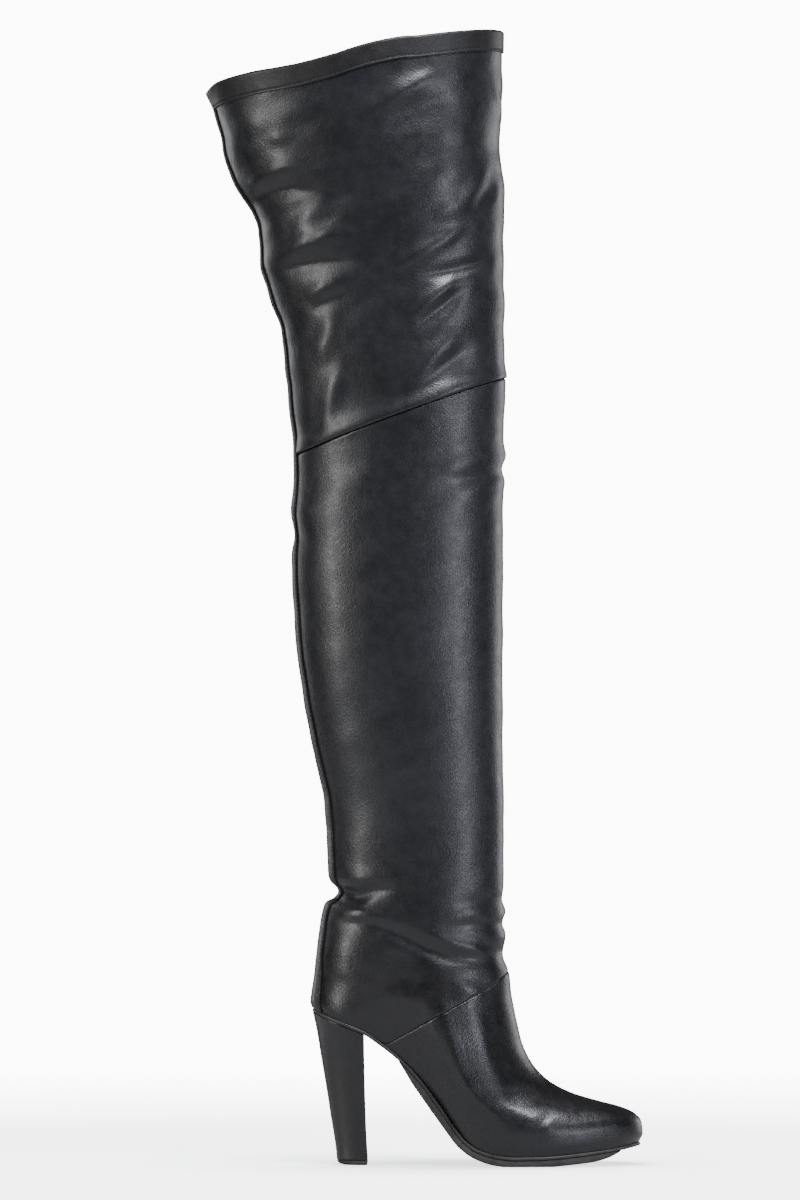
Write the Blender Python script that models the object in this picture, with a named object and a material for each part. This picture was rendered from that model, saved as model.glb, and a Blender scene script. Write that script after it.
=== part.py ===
"""Thigh-high pull-on boot for the right foot, on a tall slim block heel.

The toe points along +X, the outer side of the leg faces -Y, and +Z is up.
The origin is on the floor, under the middle of the heel's tip.
Everything hangs on one function, skin(angle, level), which gives the outer face of the leather:
angle runs from 0 at the back seam round to half a turn at the toe or shin, negative on the outer side,
and level runs up the rows of the tables, from 0 where the upper meets the sole to RIM_LEVEL at the collar.
"""

import math

import bmesh
import bpy
import numpy as np

# Foot, in metres
FOOT_LENGTH = 0.2132
SEAT_BEHIND_TIP = 0.0252
SEAT_HEIGHT = 0.1029
BALL_WIDTH = 0.076
TOE_LIFT = 0.0083
TOE_SWING = 0.007
UPPER_BULGE = 0.0042

# Leg
ANKLE_RISE = 0.0903
ANKLE_WIDTH = 0.073
KNEE_RISE = 0.2962
CALF_DEPTH = 0.1357
CALF_WIDTH = 0.091
THIGH_RISE = 0.2326
COLLAR_DEPTH = 0.1935
COLLAR_WIDTH = 0.120

# Leather
UPPER_WALL = 0.0018
STRIP_THICKNESS = 0.0010
STRIP_WIDTH = 0.034
BAND_THICKNESS = 0.0010
BAND_HEIGHT = 0.0142

# Bottom
OUTSOLE_THICKNESS = 0.0022
OUTSOLE_MARGIN = 0.0005
HALF_SOLE_THICKNESS = 0.0045
HALF_SOLE_INSET = 0.0006
TREAD_WEAR = 0.0006
INSOLE_THICKNESS = 0.0020
TIP_DEPTH = 0.0205
TIP_WIDTH = 0.0220
TIP_THICKNESS = 0.0030
HEEL_INSET = 0.0004

# Fits
GAP = 0.0003
INSOLE_FIT = 0.0005

# Heel breast and the ends of the half sole, as shares of the foot's length
BREAST_SHARE = 0.160
HALF_SOLE_START_SHARE = 0.270
HALF_SOLE_END_SHARE = 0.938

# Mesh fineness
SIDE_COLUMNS = 26
STRIP_COLUMNS = 3
HEEL_COLUMNS = 8
EDGE_SAMPLES = 400

# The sole's side profile: share of the foot's length, share of the seat's rise over the ball,
# and share of the toe's lift over the ball
SOLE_PROFILE = (
    (0.000, 1.000, 0.00),
    (0.035, 0.962, 0.00),
    (0.090, 0.910, 0.00),
    (0.155, 0.850, 0.00),
    (0.215, 0.760, 0.00),
    (0.270, 0.660, 0.00),
    (0.335, 0.505, 0.00),
    (0.395, 0.325, 0.00),
    (0.436, 0.192, 0.00),
    (0.467, 0.108, 0.00),
    (0.505, 0.050, 0.00),
    (0.560, 0.013, 0.00),
    (0.620, 0.000, 0.00),
    (0.700, 0.000, 0.03),
    (0.772, 0.000, 0.16),
    (0.849, 0.000, 0.36),
    (0.925, 0.000, 0.62),
    (1.000, 0.000, 1.00),
)

# The sole's plan: share of the foot's length, outer and inner half widths as shares of half the ball's
# width, share of the toe's swing to the inner side, and share of the upper's bulge
SOLE_PLAN = (
    (0.00, 0.66, 0.66, 0.00, 0.20),
    (0.12, 0.67, 0.67, 0.00, 0.20),
    (0.24, 0.61, 0.58, 0.00, 0.50),
    (0.34, 0.57, 0.47, 0.00, 0.85),
    (0.42, 0.63, 0.46, 0.02, 1.00),
    (0.52, 0.86, 0.68, 0.08, 1.00),
    (0.62, 1.00, 0.93, 0.20, 1.00),
    (0.70, 1.00, 1.02, 0.36, 1.00),
    (0.80, 0.95, 1.01, 0.60, 0.95),
    (0.90, 0.90, 0.95, 0.84, 0.85),
    (1.00, 0.88, 0.92, 1.00, 0.80),
)

# The foot's loops, from the sole up to the ankle. Back and front give each end's place along the foot
# and its height, as shares of its length, and of the ankle's rise over the seat (back) or toe (front).
# Sag is the share of the sole's curve that a loop keeps, fill how far its sides have gone from the
# sole's plan to the ankle's width, and the ends are rounded over shares of the loop's length.
FOOT_LOOPS = (
    # back, back height, front, front height, sag, fill, bulge, back round, front round
    (0.0000, 0.000, 1.0000, 0.000, 1.00, 0.00, 0.00, 0.13, 0.33),
    (-0.0065, 0.051, 1.0110, 0.031, 1.00, 0.09, 0.55, 0.14, 0.34),
    (-0.0040, 0.112, 1.0065, 0.073, 1.00, 0.18, 0.85, 0.15, 0.36),
    (0.0000, 0.167, 0.9860, 0.103, 1.00, 0.26, 1.00, 0.17, 0.38),
    (0.0040, 0.223, 0.9410, 0.129, 1.00, 0.34, 1.00, 0.19, 0.40),
    (0.0075, 0.278, 0.8760, 0.150, 1.00, 0.42, 1.00, 0.21, 0.41),
    (0.0100, 0.333, 0.7980, 0.177, 1.00, 0.50, 0.95, 0.23, 0.42),
    (0.0135, 0.400, 0.7256, 0.220, 0.95, 0.58, 0.85, 0.26, 0.42),
    (0.0170, 0.466, 0.6740, 0.283, 0.85, 0.66, 0.70, 0.29, 0.42),
    (0.0210, 0.533, 0.6410, 0.359, 0.75, 0.74, 0.50, 0.33, 0.43),
    (0.0250, 0.605, 0.6215, 0.454, 0.60, 0.82, 0.30, 0.37, 0.44),
    (0.0285, 0.677, 0.6090, 0.539, 0.40, 0.90, 0.15, 0.41, 0.46),
    (0.0360, 0.749, 0.5980, 0.623, 0.25, 0.96, 0.05, 0.45, 0.48),
    (0.0585, 0.804, 0.5825, 0.690, 0.12, 0.99, 0.00, 0.48, 0.50),
    (0.0615, 0.854, 0.5890, 0.752, 0.05, 1.00, 0.00, 0.50, 0.50),
    (0.0550, 0.920, 0.5820, 0.842, 0.01, 1.00, 0.00, 0.50, 0.50),
    (0.0495, 1.000, 0.5850, 0.948, 0.00, 1.00, 0.00, 0.50, 0.50),
)

# The calf's loops: heights of the back and front ends over the ankle as shares of the knee's rise,
# the back end's distance behind the shin and the front end's before it as shares of the calf's depth,
# and the half width as a share of half the calf's width
CALF_LOOPS = (
    (0.080, 0.070, 0.850, -0.003, 0.82),
    (0.151, 0.151, 0.861, -0.003, 0.84),
    (0.243, 0.260, 0.905, -0.006, 0.89),
    (0.374, 0.411, 0.959, -0.006, 0.95),
    (0.508, 0.557, 0.999, -0.006, 0.99),
    (0.641, 0.705, 1.016, -0.006, 1.00),
    (0.749, 0.834, 1.021, -0.003, 1.00),
    (0.840, 0.968, 1.012, -0.002, 1.00),
    (0.915, 1.086, 1.008, 0.005, 1.01),
)

# The thigh's loops: heights over the knee as shares of the thigh's rise, the ends' distances from the
# shin as shares of the collar's depth, and the half width as a share of half the collar's width
THIGH_LOOPS = (
    (0.003, 0.239, 0.722, 0.000, 0.775),
    (0.131, 0.355, 0.736, 0.000, 0.790),
    (0.239, 0.454, 0.749, 0.000, 0.810),
    (0.329, 0.536, 0.786, 0.001, 0.835),
    (0.432, 0.626, 0.822, 0.001, 0.865),
    (0.527, 0.699, 0.826, -0.007, 0.890),
    (0.622, 0.768, 0.884, -0.016, 0.920),
    (0.710, 0.838, 0.935, -0.014, 0.950),
    (0.785, 0.918, 0.956, -0.004, 0.975),
    (0.857, 1.022, 0.980, -0.008, 0.990),
)

# How far the middle of a loop rises over its ends, as a share of the collar's depth, and how flat
# the rise is in its middle
KNEE_BOW = 0.010
COLLAR_BOW = 0.034
BOW_FULLNESS = 0.6

# How much the collar's back leans out over the band's height, as a share of that height
COLLAR_LEAN = 0.38

# The back strip's width up the leg: level, share of STRIP_WIDTH
STRIP_TAPER = (
    (0, 1.00),
    (5, 0.85),
    (12, 0.72),
    (16, 0.80),
    (21, 0.74),
    (25, 0.60),
    (30, 0.48),
    (35, 0.45),
)

# The heel block: share of its height, then how far its back, breast and sides have gone from the
# tip's outline to the seat's
HEEL_ROWS = (
    (0.00, 0.000, 0.00, 0.00),
    (0.08, 0.045, 0.25, 0.01),
    (0.17, 0.124, 0.50, 0.04),
    (0.30, 0.257, 0.72, 0.10),
    (0.44, 0.385, 0.86, 0.19),
    (0.57, 0.518, 0.94, 0.30),
    (0.70, 0.652, 0.98, 0.44),
    (0.84, 0.790, 1.00, 0.64),
    (0.93, 0.895, 1.00, 0.83),
    (1.00, 1.000, 1.00, 1.00),
)

# The heel's tip, worn round at its back: share of its thickness, and how far its back, its breast
# and its sides are drawn in, as shares of its depth and of half its width
TIP_ROWS = (
    (0.00, 0.22, 0.04, 0.07),
    (0.35, 0.07, 0.01, 0.02),
    (1.00, 0.00, 0.00, 0.00),
)

# The half sole's thickness along its length, as shares of each
HALF_SOLE_TAPER = (
    (0.00, 0.12),
    (0.06, 0.30),
    (0.14, 0.50),
    (0.24, 0.66),
    (0.34, 0.92),
    (0.42, 1.00),
    (0.90, 1.00),
    (0.96, 0.85),
    (1.00, 0.45),
)

# The hollow of the heel's breast, and where it lies as a share of the half width
BREAST_HOLLOW = 0.0015
HOLLOW_SPREAD = 0.45

SEAT_X = -SEAT_BEHIND_TIP
BALL_HEIGHT = OUTSOLE_THICKNESS + HALF_SOLE_THICKNESS + 2 * GAP - TREAD_WEAR
ANKLE_HEIGHT = SEAT_HEIGHT + ANKLE_RISE
TOE_HEIGHT = BALL_HEIGHT + TOE_LIFT
SHIN_X = SEAT_X + FOOT_LOOPS[-1][2] * FOOT_LENGTH
KNEE_HEIGHT = ANKLE_HEIGHT + KNEE_RISE
KNEE_LEVEL = len(FOOT_LOOPS) + len(CALF_LOOPS) - 1
BAND_LEVEL = KNEE_LEVEL + len(THIGH_LOOPS)
RIM_LEVEL = BAND_LEVEL + 1


def smooth(knots, values, at):
    """Monotone cubic curve through the rows of a table."""
    knots = np.asarray(knots, float)
    values = np.asarray(values, float)
    step = np.diff(knots)
    slope = np.diff(values) / step
    before = 2 * step[1:] + step[:-1]
    after = step[1:] + 2 * step[:-1]
    same_way = slope[:-1] * slope[1:] > 0
    safe_low = np.where(same_way, slope[:-1], 1.0)
    safe_high = np.where(same_way, slope[1:], 1.0)
    mean = (before + after) / (before / safe_low + after / safe_high)
    tangent = np.concatenate(([slope[0]], np.where(same_way, mean, 0.0), [slope[-1]]))
    at = np.clip(at, knots[0], knots[-1])
    row = np.clip(np.searchsorted(knots, at, side="right") - 1, 0, len(step) - 1)
    width = step[row]
    s = (at - knots[row]) / width
    start = (1 + 2 * s) * (1 - s) ** 2 * values[row] + s * (1 - s) ** 2 * width * tangent[row]
    end = s * s * (3 - 2 * s) * values[row + 1] + s * s * (s - 1) * width * tangent[row + 1]
    return start + end


def column(table, number):
    return [row[number] for row in table]


def sole_height(share):
    """Height of the upper's lower edge along the foot's length."""
    shares = column(SOLE_PROFILE, 0)
    rise = smooth(shares, column(SOLE_PROFILE, 1), share)
    lift = smooth(shares, column(SOLE_PROFILE, 2), share)
    return BALL_HEIGHT + (SEAT_HEIGHT - BALL_HEIGHT) * rise + TOE_LIFT * lift


def sole_sag(x, back_x, front_x, share):
    """How far the sole's profile lies from the straight line between two of its places."""
    along, back, front = (sole_height((place - SEAT_X) / FOOT_LENGTH) for place in (x, back_x, front_x))
    return along - back - (front - back) * share


def loop_rows():
    """Every loop in metres: back x and z, front x and z, sag, fill, bulge, half width, rounds, bow."""
    rows = []
    for back, back_up, front, front_up, sag, fill, bulge, back_round, front_round in FOOT_LOOPS:
        back_z = SEAT_HEIGHT + ANKLE_RISE * back_up
        front_z = TOE_HEIGHT + (ANKLE_HEIGHT - TOE_HEIGHT) * front_up
        ends = (SEAT_X + FOOT_LENGTH * back, back_z, SEAT_X + FOOT_LENGTH * front, front_z)
        rows.append((*ends, sag, fill, UPPER_BULGE * bulge, ANKLE_WIDTH / 2, back_round, front_round, 0.0))
    for number, (back_up, front_up, behind, before, side) in enumerate(CALF_LOOPS, 1):
        back_z = ANKLE_HEIGHT + KNEE_RISE * back_up
        front_z = ANKLE_HEIGHT + KNEE_RISE * front_up
        ends = (SHIN_X - CALF_DEPTH * behind, back_z, SHIN_X + CALF_DEPTH * before, front_z)
        bow = COLLAR_DEPTH * KNEE_BOW * number / len(CALF_LOOPS)
        rows.append((*ends, 0.0, 1.0, 0.0, CALF_WIDTH / 2 * side, 0.5, 0.5, bow))
    for number, (back_up, front_up, behind, before, side) in enumerate(THIGH_LOOPS, 1):
        back_z = KNEE_HEIGHT + THIGH_RISE * back_up
        front_z = KNEE_HEIGHT + THIGH_RISE * front_up
        ends = (SHIN_X - COLLAR_DEPTH * behind, back_z, SHIN_X + COLLAR_DEPTH * before, front_z)
        bow = COLLAR_DEPTH * (KNEE_BOW + (COLLAR_BOW - KNEE_BOW) * number / len(THIGH_LOOPS))
        rows.append((*ends, 0.0, 1.0, 0.0, COLLAR_WIDTH / 2 * side, 0.5, 0.5, bow))
    edge = rows[-1]
    rise = BAND_HEIGHT - GAP - BAND_THICKNESS
    ends = (edge[0] - COLLAR_LEAN * rise, edge[1] + rise, edge[2], edge[3] + rise)
    rows.append((*ends, 0.0, 1.0, 0.0, COLLAR_WIDTH / 2, 0.5, 0.5, edge[10]))
    return rows


LOOPS = loop_rows()
LEVELS = range(len(LOOPS))


def end_round(share, zone):
    """Quarter ellipse from 0 at a loop's end to 1 where its rounding stops."""
    reach = np.clip(share / zone, 0.0, 1.0)
    return np.sqrt(1 - (1 - reach) ** 2)


def skin(angle, level):
    """Points on the leather's outer face, for arrays of angles and levels."""
    angle, level = np.broadcast_arrays(np.asarray(angle, float), np.asarray(level, float))
    angle = (angle + math.pi) % (2 * math.pi) - math.pi
    outer = angle < 0
    share = (1 - np.cos(angle)) / 2
    values = [smooth(LEVELS, column(LOOPS, number), level) for number in range(len(LOOPS[0]))]
    back_x, back_z, front_x, front_z, sag, fill, bulge, half, back_round, front_round, bow = values
    plan = [smooth(column(SOLE_PLAN, 0), column(SOLE_PLAN, number), share) for number in range(1, 5)]
    sole_half = BALL_WIDTH / 2 * np.where(outer, plan[0], plan[1])
    swing = TOE_SWING * plan[2] * (1 - fill)
    side = sole_half * (1 - fill) + half * fill + bulge * plan[3]
    side = side * end_round(share, back_round) * end_round(1 - share, front_round)
    x = back_x + (front_x - back_x) * share
    z = back_z + (front_z - back_z) * share + sag * sole_sag(x, back_x, front_x, share)
    z = z + bow * np.sin(math.pi * share) ** BOW_FULLNESS
    y = swing + np.where(outer, -side, side)
    return np.stack([x, y, z], -1)


def unit(vectors):
    return vectors / np.linalg.norm(vectors, axis=-1, keepdims=True)


def skin_frame(angle, level):
    """Points on the skin, their outward normals and their directions up the leg."""
    small = 0.004
    points = skin(angle, level)
    around = skin(angle + small, level) - skin(angle - small, level)
    up = skin(angle, np.minimum(level + small, RIM_LEVEL)) - skin(angle, np.maximum(level - small, 0))
    return points, unit(np.cross(up, around)), unit(up)


def strip_angle(level, sign):
    """Angle at which the back strip's edge lies, found along the skin."""
    angles = np.linspace(0, 1.2, 61)
    points = skin(sign * angles, level)
    along = np.concatenate(([0], np.cumsum(np.linalg.norm(np.diff(points, axis=0), axis=1))))
    half = STRIP_WIDTH / 2 * smooth(column(STRIP_TAPER, 0), column(STRIP_TAPER, 1), level)
    return float(np.interp(half, along, angles))


def column_angles(level):
    """Angles of the mesh's columns: the strip's own first on each side, then even ones to the front."""
    sides = []
    for sign in (-1, 1):
        edge = strip_angle(level, sign)
        inside = np.linspace(0, edge, STRIP_COLUMNS + 1)
        beyond = np.linspace(edge, math.pi, SIDE_COLUMNS - STRIP_COLUMNS + 1)
        sides.append(sign * np.concatenate((inside, beyond[1:])))
    return np.concatenate((sides[0], sides[1][-2:0:-1]))


def make_object(name, points, faces, material):
    """One closed body, faces out, shaded smooth with its sharp edges kept."""
    mesh = bpy.data.meshes.new(name)
    mesh.from_pydata([tuple(point) for point in points], [], faces)
    body = bmesh.new()
    body.from_mesh(mesh)
    bmesh.ops.triangulate(body, faces=body.faces)
    bmesh.ops.recalc_face_normals(body, faces=body.faces)
    if body.calc_volume(signed=True) < 0:
        bmesh.ops.reverse_faces(body, faces=body.faces)
    body.to_mesh(mesh)
    body.free()
    mesh.shade_smooth()
    mesh.set_sharp_from_angle(angle=math.radians(40))
    mesh.materials.append(material)
    thing = bpy.data.objects.new(name, mesh)
    bpy.context.scene.collection.objects.link(thing)
    return thing


def make_material(name, colour, roughness):
    material = bpy.data.materials.new(name)
    material.use_nodes = True
    shader = material.node_tree.nodes["Principled BSDF"]
    shader.inputs["Base Color"].default_value = (*colour, 1.0)
    shader.inputs["Roughness"].default_value = roughness
    shader.inputs["Metallic"].default_value = 0.0
    return material


def closed_sweep(rings):
    """Faces that join a list of equal rings end to end and back to the first."""
    rows, around = len(rings), len(rings[0])
    faces = []
    for row in range(rows):
        above = (row + 1) % rows
        for spot in range(around):
            after = (spot + 1) % around
            low, high = row * around, above * around
            faces.append((low + spot, low + after, high + after, high + spot))
    return np.concatenate(rings), faces


def tube_wall(name, outer, inner, material):
    """A hollow wall from matching rings of its outer and inner faces, open at both ends."""
    points, faces = closed_sweep(list(outer) + list(inner)[::-1])
    return make_object(name, points, faces, material)


def sheet_wall(name, outer, inner, material):
    """A closed sheet from matching grids of its two faces."""
    rings = [np.concatenate((top, under[::-1])) for top, under in zip(outer, inner)]
    return stack(name, rings, material, pointed=False)


def cap_faces(around, pointed):
    """Rungs across a ring that either starts at a middle point or has two matching sides."""
    first, last = 0, around - 1
    faces = []
    if pointed:
        faces.append((0, 1, last))
        first = 1
    while last - first > 2:
        faces.append((first, first + 1, last - 1, last))
        first += 1
        last -= 1
    if last - first == 2:
        faces.append((first, first + 1, last))
    return faces


def stack(name, rings, material, pointed):
    """A solid through rings of as many points, with rungs across both ends."""
    rows, around = len(rings), len(rings[0])
    faces = []
    for low in range(0, (rows - 1) * around, around):
        high = low + around
        for spot in range(around):
            after = (spot + 1) % around
            faces.append((low + spot, low + after, high + after, high + spot))
    for start in (0, (rows - 1) * around):
        faces.extend(tuple(start + corner for corner in cap) for cap in cap_faces(around, pointed))
    return make_object(name, np.concatenate(rings), faces, material)


def sole_point(share, y, depth):
    """A point under the upper's lower edge, measured square to the sole's profile."""
    small = 0.01
    run = 2 * small * FOOT_LENGTH
    rise = sole_height(np.clip(share + small, 0, 1)) - sole_height(np.clip(share - small, 0, 1))
    rise = rise * np.where((share < small) | (share > 1 - small), 2.0, 1.0)
    length = np.sqrt(run * run + rise * rise)
    x = SEAT_X + FOOT_LENGTH * share + depth * rise / length
    z = sole_height(np.clip(share, 0, 1)) - depth * run / length
    return np.stack([x, y, z], -1)


def sole_edge(grow, sign):
    """One side of the upper's lower edge in plan, grown outwards: shares of the length and places."""
    angles = sign * np.linspace(0, math.pi, EDGE_SAMPLES)
    edge = skin(angles, 0.0)[:, :2]
    turn = sign * (skin(angles + 1e-3, 0.0) - skin(angles - 1e-3, 0.0))[:, :2]
    out = unit(np.stack([-sign * turn[:, 1], sign * turn[:, 0]], -1))
    plan = edge + grow * out
    return (plan[:, 0] - SEAT_X) / FOOT_LENGTH, plan[:, 1]


def sole_side(share, sign, grow=0.0):
    """Sideways place of the sole's edge at a share of the foot's length."""
    along, places = sole_edge(grow, sign)
    return np.interp(share, along, places)


def column_shares():
    """Shares of the foot's length at which the upper's columns meet the sole."""
    return (1 - np.cos(column_angles(0.0)[:SIDE_COLUMNS + 1])) / 2


def make_plate(name, grow, top, bottom, material):
    """A plate that follows the sole between two depths under the upper's edge."""
    along, places = sole_edge(grow, -1)
    share = along[0] + (along[-1] - along[0]) * column_shares()
    near = np.concatenate((places[:1], sole_side(share[1:-1], -1, grow), places[-1:]))
    far = sole_side(share[1:-1], 1, grow)
    ring_share = np.concatenate((share, share[-2:0:-1]))
    ring_y = np.concatenate((near, far[::-1]))
    rings = [sole_point(ring_share, ring_y, depth) for depth in (bottom, top)]
    return stack(name, rings, material, pointed=True)


def make_upper(material):
    """Foot and calf in one wall, open under the foot and at the knee seam."""
    outer, inner = [], []
    for level in range(KNEE_LEVEL + 1):
        points, normals, up = skin_frame(column_angles(float(level)), float(level))
        if level == 0:
            normals[:, 2] = 0
            normals = unit(normals)
        within = points - UPPER_WALL * normals
        if level == 0:
            within[:, 2] = sole_height(np.clip((within[:, 0] - SEAT_X) / FOOT_LENGTH, 0, 1))
        if level == KNEE_LEVEL:
            points = points - GAP / 2 * up
            within = within - GAP / 2 * up
        outer.append(points)
        inner.append(within)
    return tube_wall("upper", outer, inner, material)


def make_thigh_shaft(material):
    """The leg above the knee seam, up to the rim inside the top band."""
    outer, inner = [], []
    for level in range(KNEE_LEVEL, RIM_LEVEL + 1):
        points, normals, up = skin_frame(column_angles(float(level)), float(level))
        if level == KNEE_LEVEL:
            points = points + GAP / 2 * up
        outer.append(points)
        inner.append(points - UPPER_WALL * normals)
    return tube_wall("thigh_shaft", outer, inner, material)


def make_top_band(material):
    """A folded binding over the rim: an outer leg, a round top and an inner leg."""
    low, low_out, low_up = skin_frame(column_angles(float(BAND_LEVEL)), float(BAND_LEVEL))
    rim, rim_out, rim_up = skin_frame(column_angles(float(RIM_LEVEL)), float(RIM_LEVEL))
    thick = GAP + BAND_THICKNESS
    inside = -UPPER_WALL - GAP
    profile = (
        (low, low_out, low_up, GAP, 0.0),
        (low, low_out, low_up, thick, 0.0),
        (rim, rim_out, rim_up, thick, 0.0),
        (rim, rim_out, rim_up, 0.6 * thick, 0.8 * thick),
        (rim, rim_out, rim_up, -UPPER_WALL / 2, thick),
        (rim, rim_out, rim_up, -UPPER_WALL - 0.6 * thick, 0.8 * thick),
        (rim, rim_out, rim_up, -UPPER_WALL - thick, 0.0),
        (low, low_out, low_up, -UPPER_WALL - thick, 0.0),
        (low, low_out, low_up, inside, 0.0),
        (rim, rim_out, rim_up, inside, GAP),
        (rim, rim_out, rim_up, GAP, GAP),
    )
    rings = [points + out * aside + up * above for points, out, up, aside, above in profile]
    points, faces = closed_sweep(rings)
    return make_object("top_band", points, faces, material)


def make_back_strip(material):
    """The stitched strip down the back, laid over the upper and the thigh shaft."""
    low_outer, low_inner = [], []
    for level in range(BAND_LEVEL + 1):
        angles = column_angles(float(level))
        own = np.concatenate((angles[STRIP_COLUMNS:0:-1], angles[:1], angles[:-STRIP_COLUMNS - 1:-1]))
        points, normals, up = skin_frame(own, float(level))
        if level == 0:
            normals[:, 2] = 0
            normals = unit(normals)
            points = points + GAP * up
        if level == BAND_LEVEL:
            points = points - GAP * up
        low_inner.append(points + GAP * normals)
        low_outer.append(points + (GAP + STRIP_THICKNESS) * normals)
    return sheet_wall("back_strip", low_outer, low_inner, material)


def make_half_sole(material):
    """The worn layer under the forepart, flat where it treads."""
    inside = [share for share in column_shares() if HALF_SOLE_START_SHARE < share < HALF_SOLE_END_SHARE]
    share = np.array([HALF_SOLE_START_SHARE, *inside, HALF_SOLE_END_SHARE])
    along = (share - HALF_SOLE_START_SHARE) / (HALF_SOLE_END_SHARE - HALF_SOLE_START_SHARE)
    taper = smooth(column(HALF_SOLE_TAPER, 0), column(HALF_SOLE_TAPER, 1), along)
    top_depth = 2 * GAP + OUTSOLE_THICKNESS
    sides = []
    for sign in (-1, 1):
        y = sole_side(share, sign, OUTSOLE_MARGIN) - sign * HALF_SOLE_INSET
        top = sole_point(share, y, top_depth)
        bottom = sole_point(share, y, top_depth + HALF_SOLE_THICKNESS * taper)
        bottom[:, 2] = np.maximum(bottom[:, 2], 0.0)
        sides.append((top, bottom))
    rings = [np.concatenate((sides[0][face], sides[1][face][::-1])) for face in (1, 0)]
    return stack("half_sole", rings, material, pointed=False)


def heel_spots():
    """Places from the heel's back to its breast, closer together round the back."""
    return 1 - np.cos(np.linspace(0, math.pi / 2, HEEL_COLUMNS + 1))


def seat_halves():
    """Half widths round the seat as shares of the one at the breast, and that one."""
    halves = sole_side(heel_spots() * BREAST_SHARE, 1)
    return halves / halves[-1], halves[-1]


def heel_ring(back, breast, half):
    """A heel's outline: round the back on both sides, then across the hollow breast."""
    shares, _ = seat_halves()
    along = back + (breast - back) * heel_spots()
    near = [(x, -half * share) for x, share in zip(along, shares)]
    far = [(x, half * share) for x, share in zip(along, shares)]
    hollow = [(breast - BREAST_HOLLOW, sign * half * HOLLOW_SPREAD) for sign in (-1, 1)]
    return near + hollow + far[:0:-1]


def make_heel(material):
    """The covered heel block, from the sole's underside down to the tip."""
    _, seat_half = seat_halves()
    seat_back = SEAT_X + HEEL_INSET
    breast_x = SEAT_X + BREAST_SHARE * FOOT_LENGTH
    seat_ring = heel_ring(seat_back, breast_x, seat_half)
    depth = 2 * GAP + OUTSOLE_THICKNESS
    base = TIP_THICKNESS + GAP
    rings = []
    for up, back_share, breast_share, side_share in HEEL_ROWS:
        back = -TIP_DEPTH / 2 + (seat_back + TIP_DEPTH / 2) * back_share
        breast = TIP_DEPTH / 2 + (breast_x - TIP_DEPTH / 2) * breast_share
        half = TIP_WIDTH / 2 + (seat_half - HEEL_INSET - TIP_WIDTH / 2) * side_share
        ring = []
        for (x, y), (seat_x, _) in zip(heel_ring(back, breast, half), seat_ring):
            top = sole_point((seat_x - SEAT_X) / FOOT_LENGTH, 0.0, depth)
            ring.append((x + (top[0] - seat_x) * up, y, base + (top[2] - base) * up))
        rings.append(np.array(ring))
    return stack("heel_block", rings, material, pointed=True)


def make_heel_tip(material):
    """The tread piece under the heel, flat on the floor and worn at its back."""
    rings = []
    for up, back_in, breast_in, side_in in TIP_ROWS:
        back = -TIP_DEPTH / 2 + TIP_DEPTH * back_in
        breast = TIP_DEPTH / 2 - TIP_DEPTH * breast_in
        half = TIP_WIDTH / 2 * (1 - side_in)
        outline = heel_ring(back, breast, half)
        rings.append(np.array([(x, y, TIP_THICKNESS * up) for x, y in outline]))
    return stack("heel_tip", rings, material, pointed=True)


def clear_scene():
    for thing in list(bpy.data.objects):
        bpy.data.objects.remove(thing, do_unlink=True)


def main():
    clear_scene()
    leather = make_material("leather", (0.012, 0.012, 0.014), 0.36)
    sole_leather = make_material("sole_leather", (0.030, 0.028, 0.027), 0.55)
    tread_rubber = make_material("tread_rubber", (0.020, 0.020, 0.020), 0.70)
    lining = make_material("lining", (0.060, 0.055, 0.050), 0.80)
    make_upper(leather)
    make_thigh_shaft(leather)
    make_top_band(leather)
    make_back_strip(leather)
    make_plate("insole", -(UPPER_WALL + INSOLE_FIT), -INSOLE_THICKNESS, 0.0, lining)
    make_plate("outsole", OUTSOLE_MARGIN, GAP, GAP + OUTSOLE_THICKNESS, sole_leather)
    make_half_sole(tread_rubber)
    make_heel(leather)
    make_heel_tip(tread_rubber)


main()
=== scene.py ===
"""Looks for the thigh-high boot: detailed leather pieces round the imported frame, floor, lights and camera.

The leather's surface comes from the same tables and functions as the solids, and the creases, seams,
edges and stitches are laid on it in the boot's own sizes. Lengths in the tables of creases are millimetres.
"""

import math

import bmesh
import bpy
import numpy as np
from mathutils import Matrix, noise


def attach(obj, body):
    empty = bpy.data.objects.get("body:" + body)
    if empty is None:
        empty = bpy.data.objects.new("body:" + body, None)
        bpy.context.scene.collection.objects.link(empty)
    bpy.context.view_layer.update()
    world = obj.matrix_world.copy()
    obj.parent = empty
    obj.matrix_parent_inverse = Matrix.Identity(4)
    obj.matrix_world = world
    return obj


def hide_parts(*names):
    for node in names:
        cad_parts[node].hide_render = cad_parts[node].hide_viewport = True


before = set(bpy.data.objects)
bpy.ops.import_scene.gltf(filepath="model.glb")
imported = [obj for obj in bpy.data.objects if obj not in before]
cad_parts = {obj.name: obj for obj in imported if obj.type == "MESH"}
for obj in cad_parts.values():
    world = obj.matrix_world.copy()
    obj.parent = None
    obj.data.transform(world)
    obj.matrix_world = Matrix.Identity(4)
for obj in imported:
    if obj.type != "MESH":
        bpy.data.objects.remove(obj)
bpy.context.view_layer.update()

MM = 0.001

# Foot, in metres
FOOT_LENGTH = 0.2132
SEAT_BEHIND_TIP = 0.0252
SEAT_HEIGHT = 0.1029
BALL_WIDTH = 0.076
TOE_LIFT = 0.0083
TOE_SWING = 0.007
UPPER_BULGE = 0.0042

# Leg
ANKLE_RISE = 0.0903
ANKLE_WIDTH = 0.073
KNEE_RISE = 0.2962
CALF_DEPTH = 0.1357
CALF_WIDTH = 0.091
THIGH_RISE = 0.2326
COLLAR_DEPTH = 0.1935
COLLAR_WIDTH = 0.120

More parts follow.
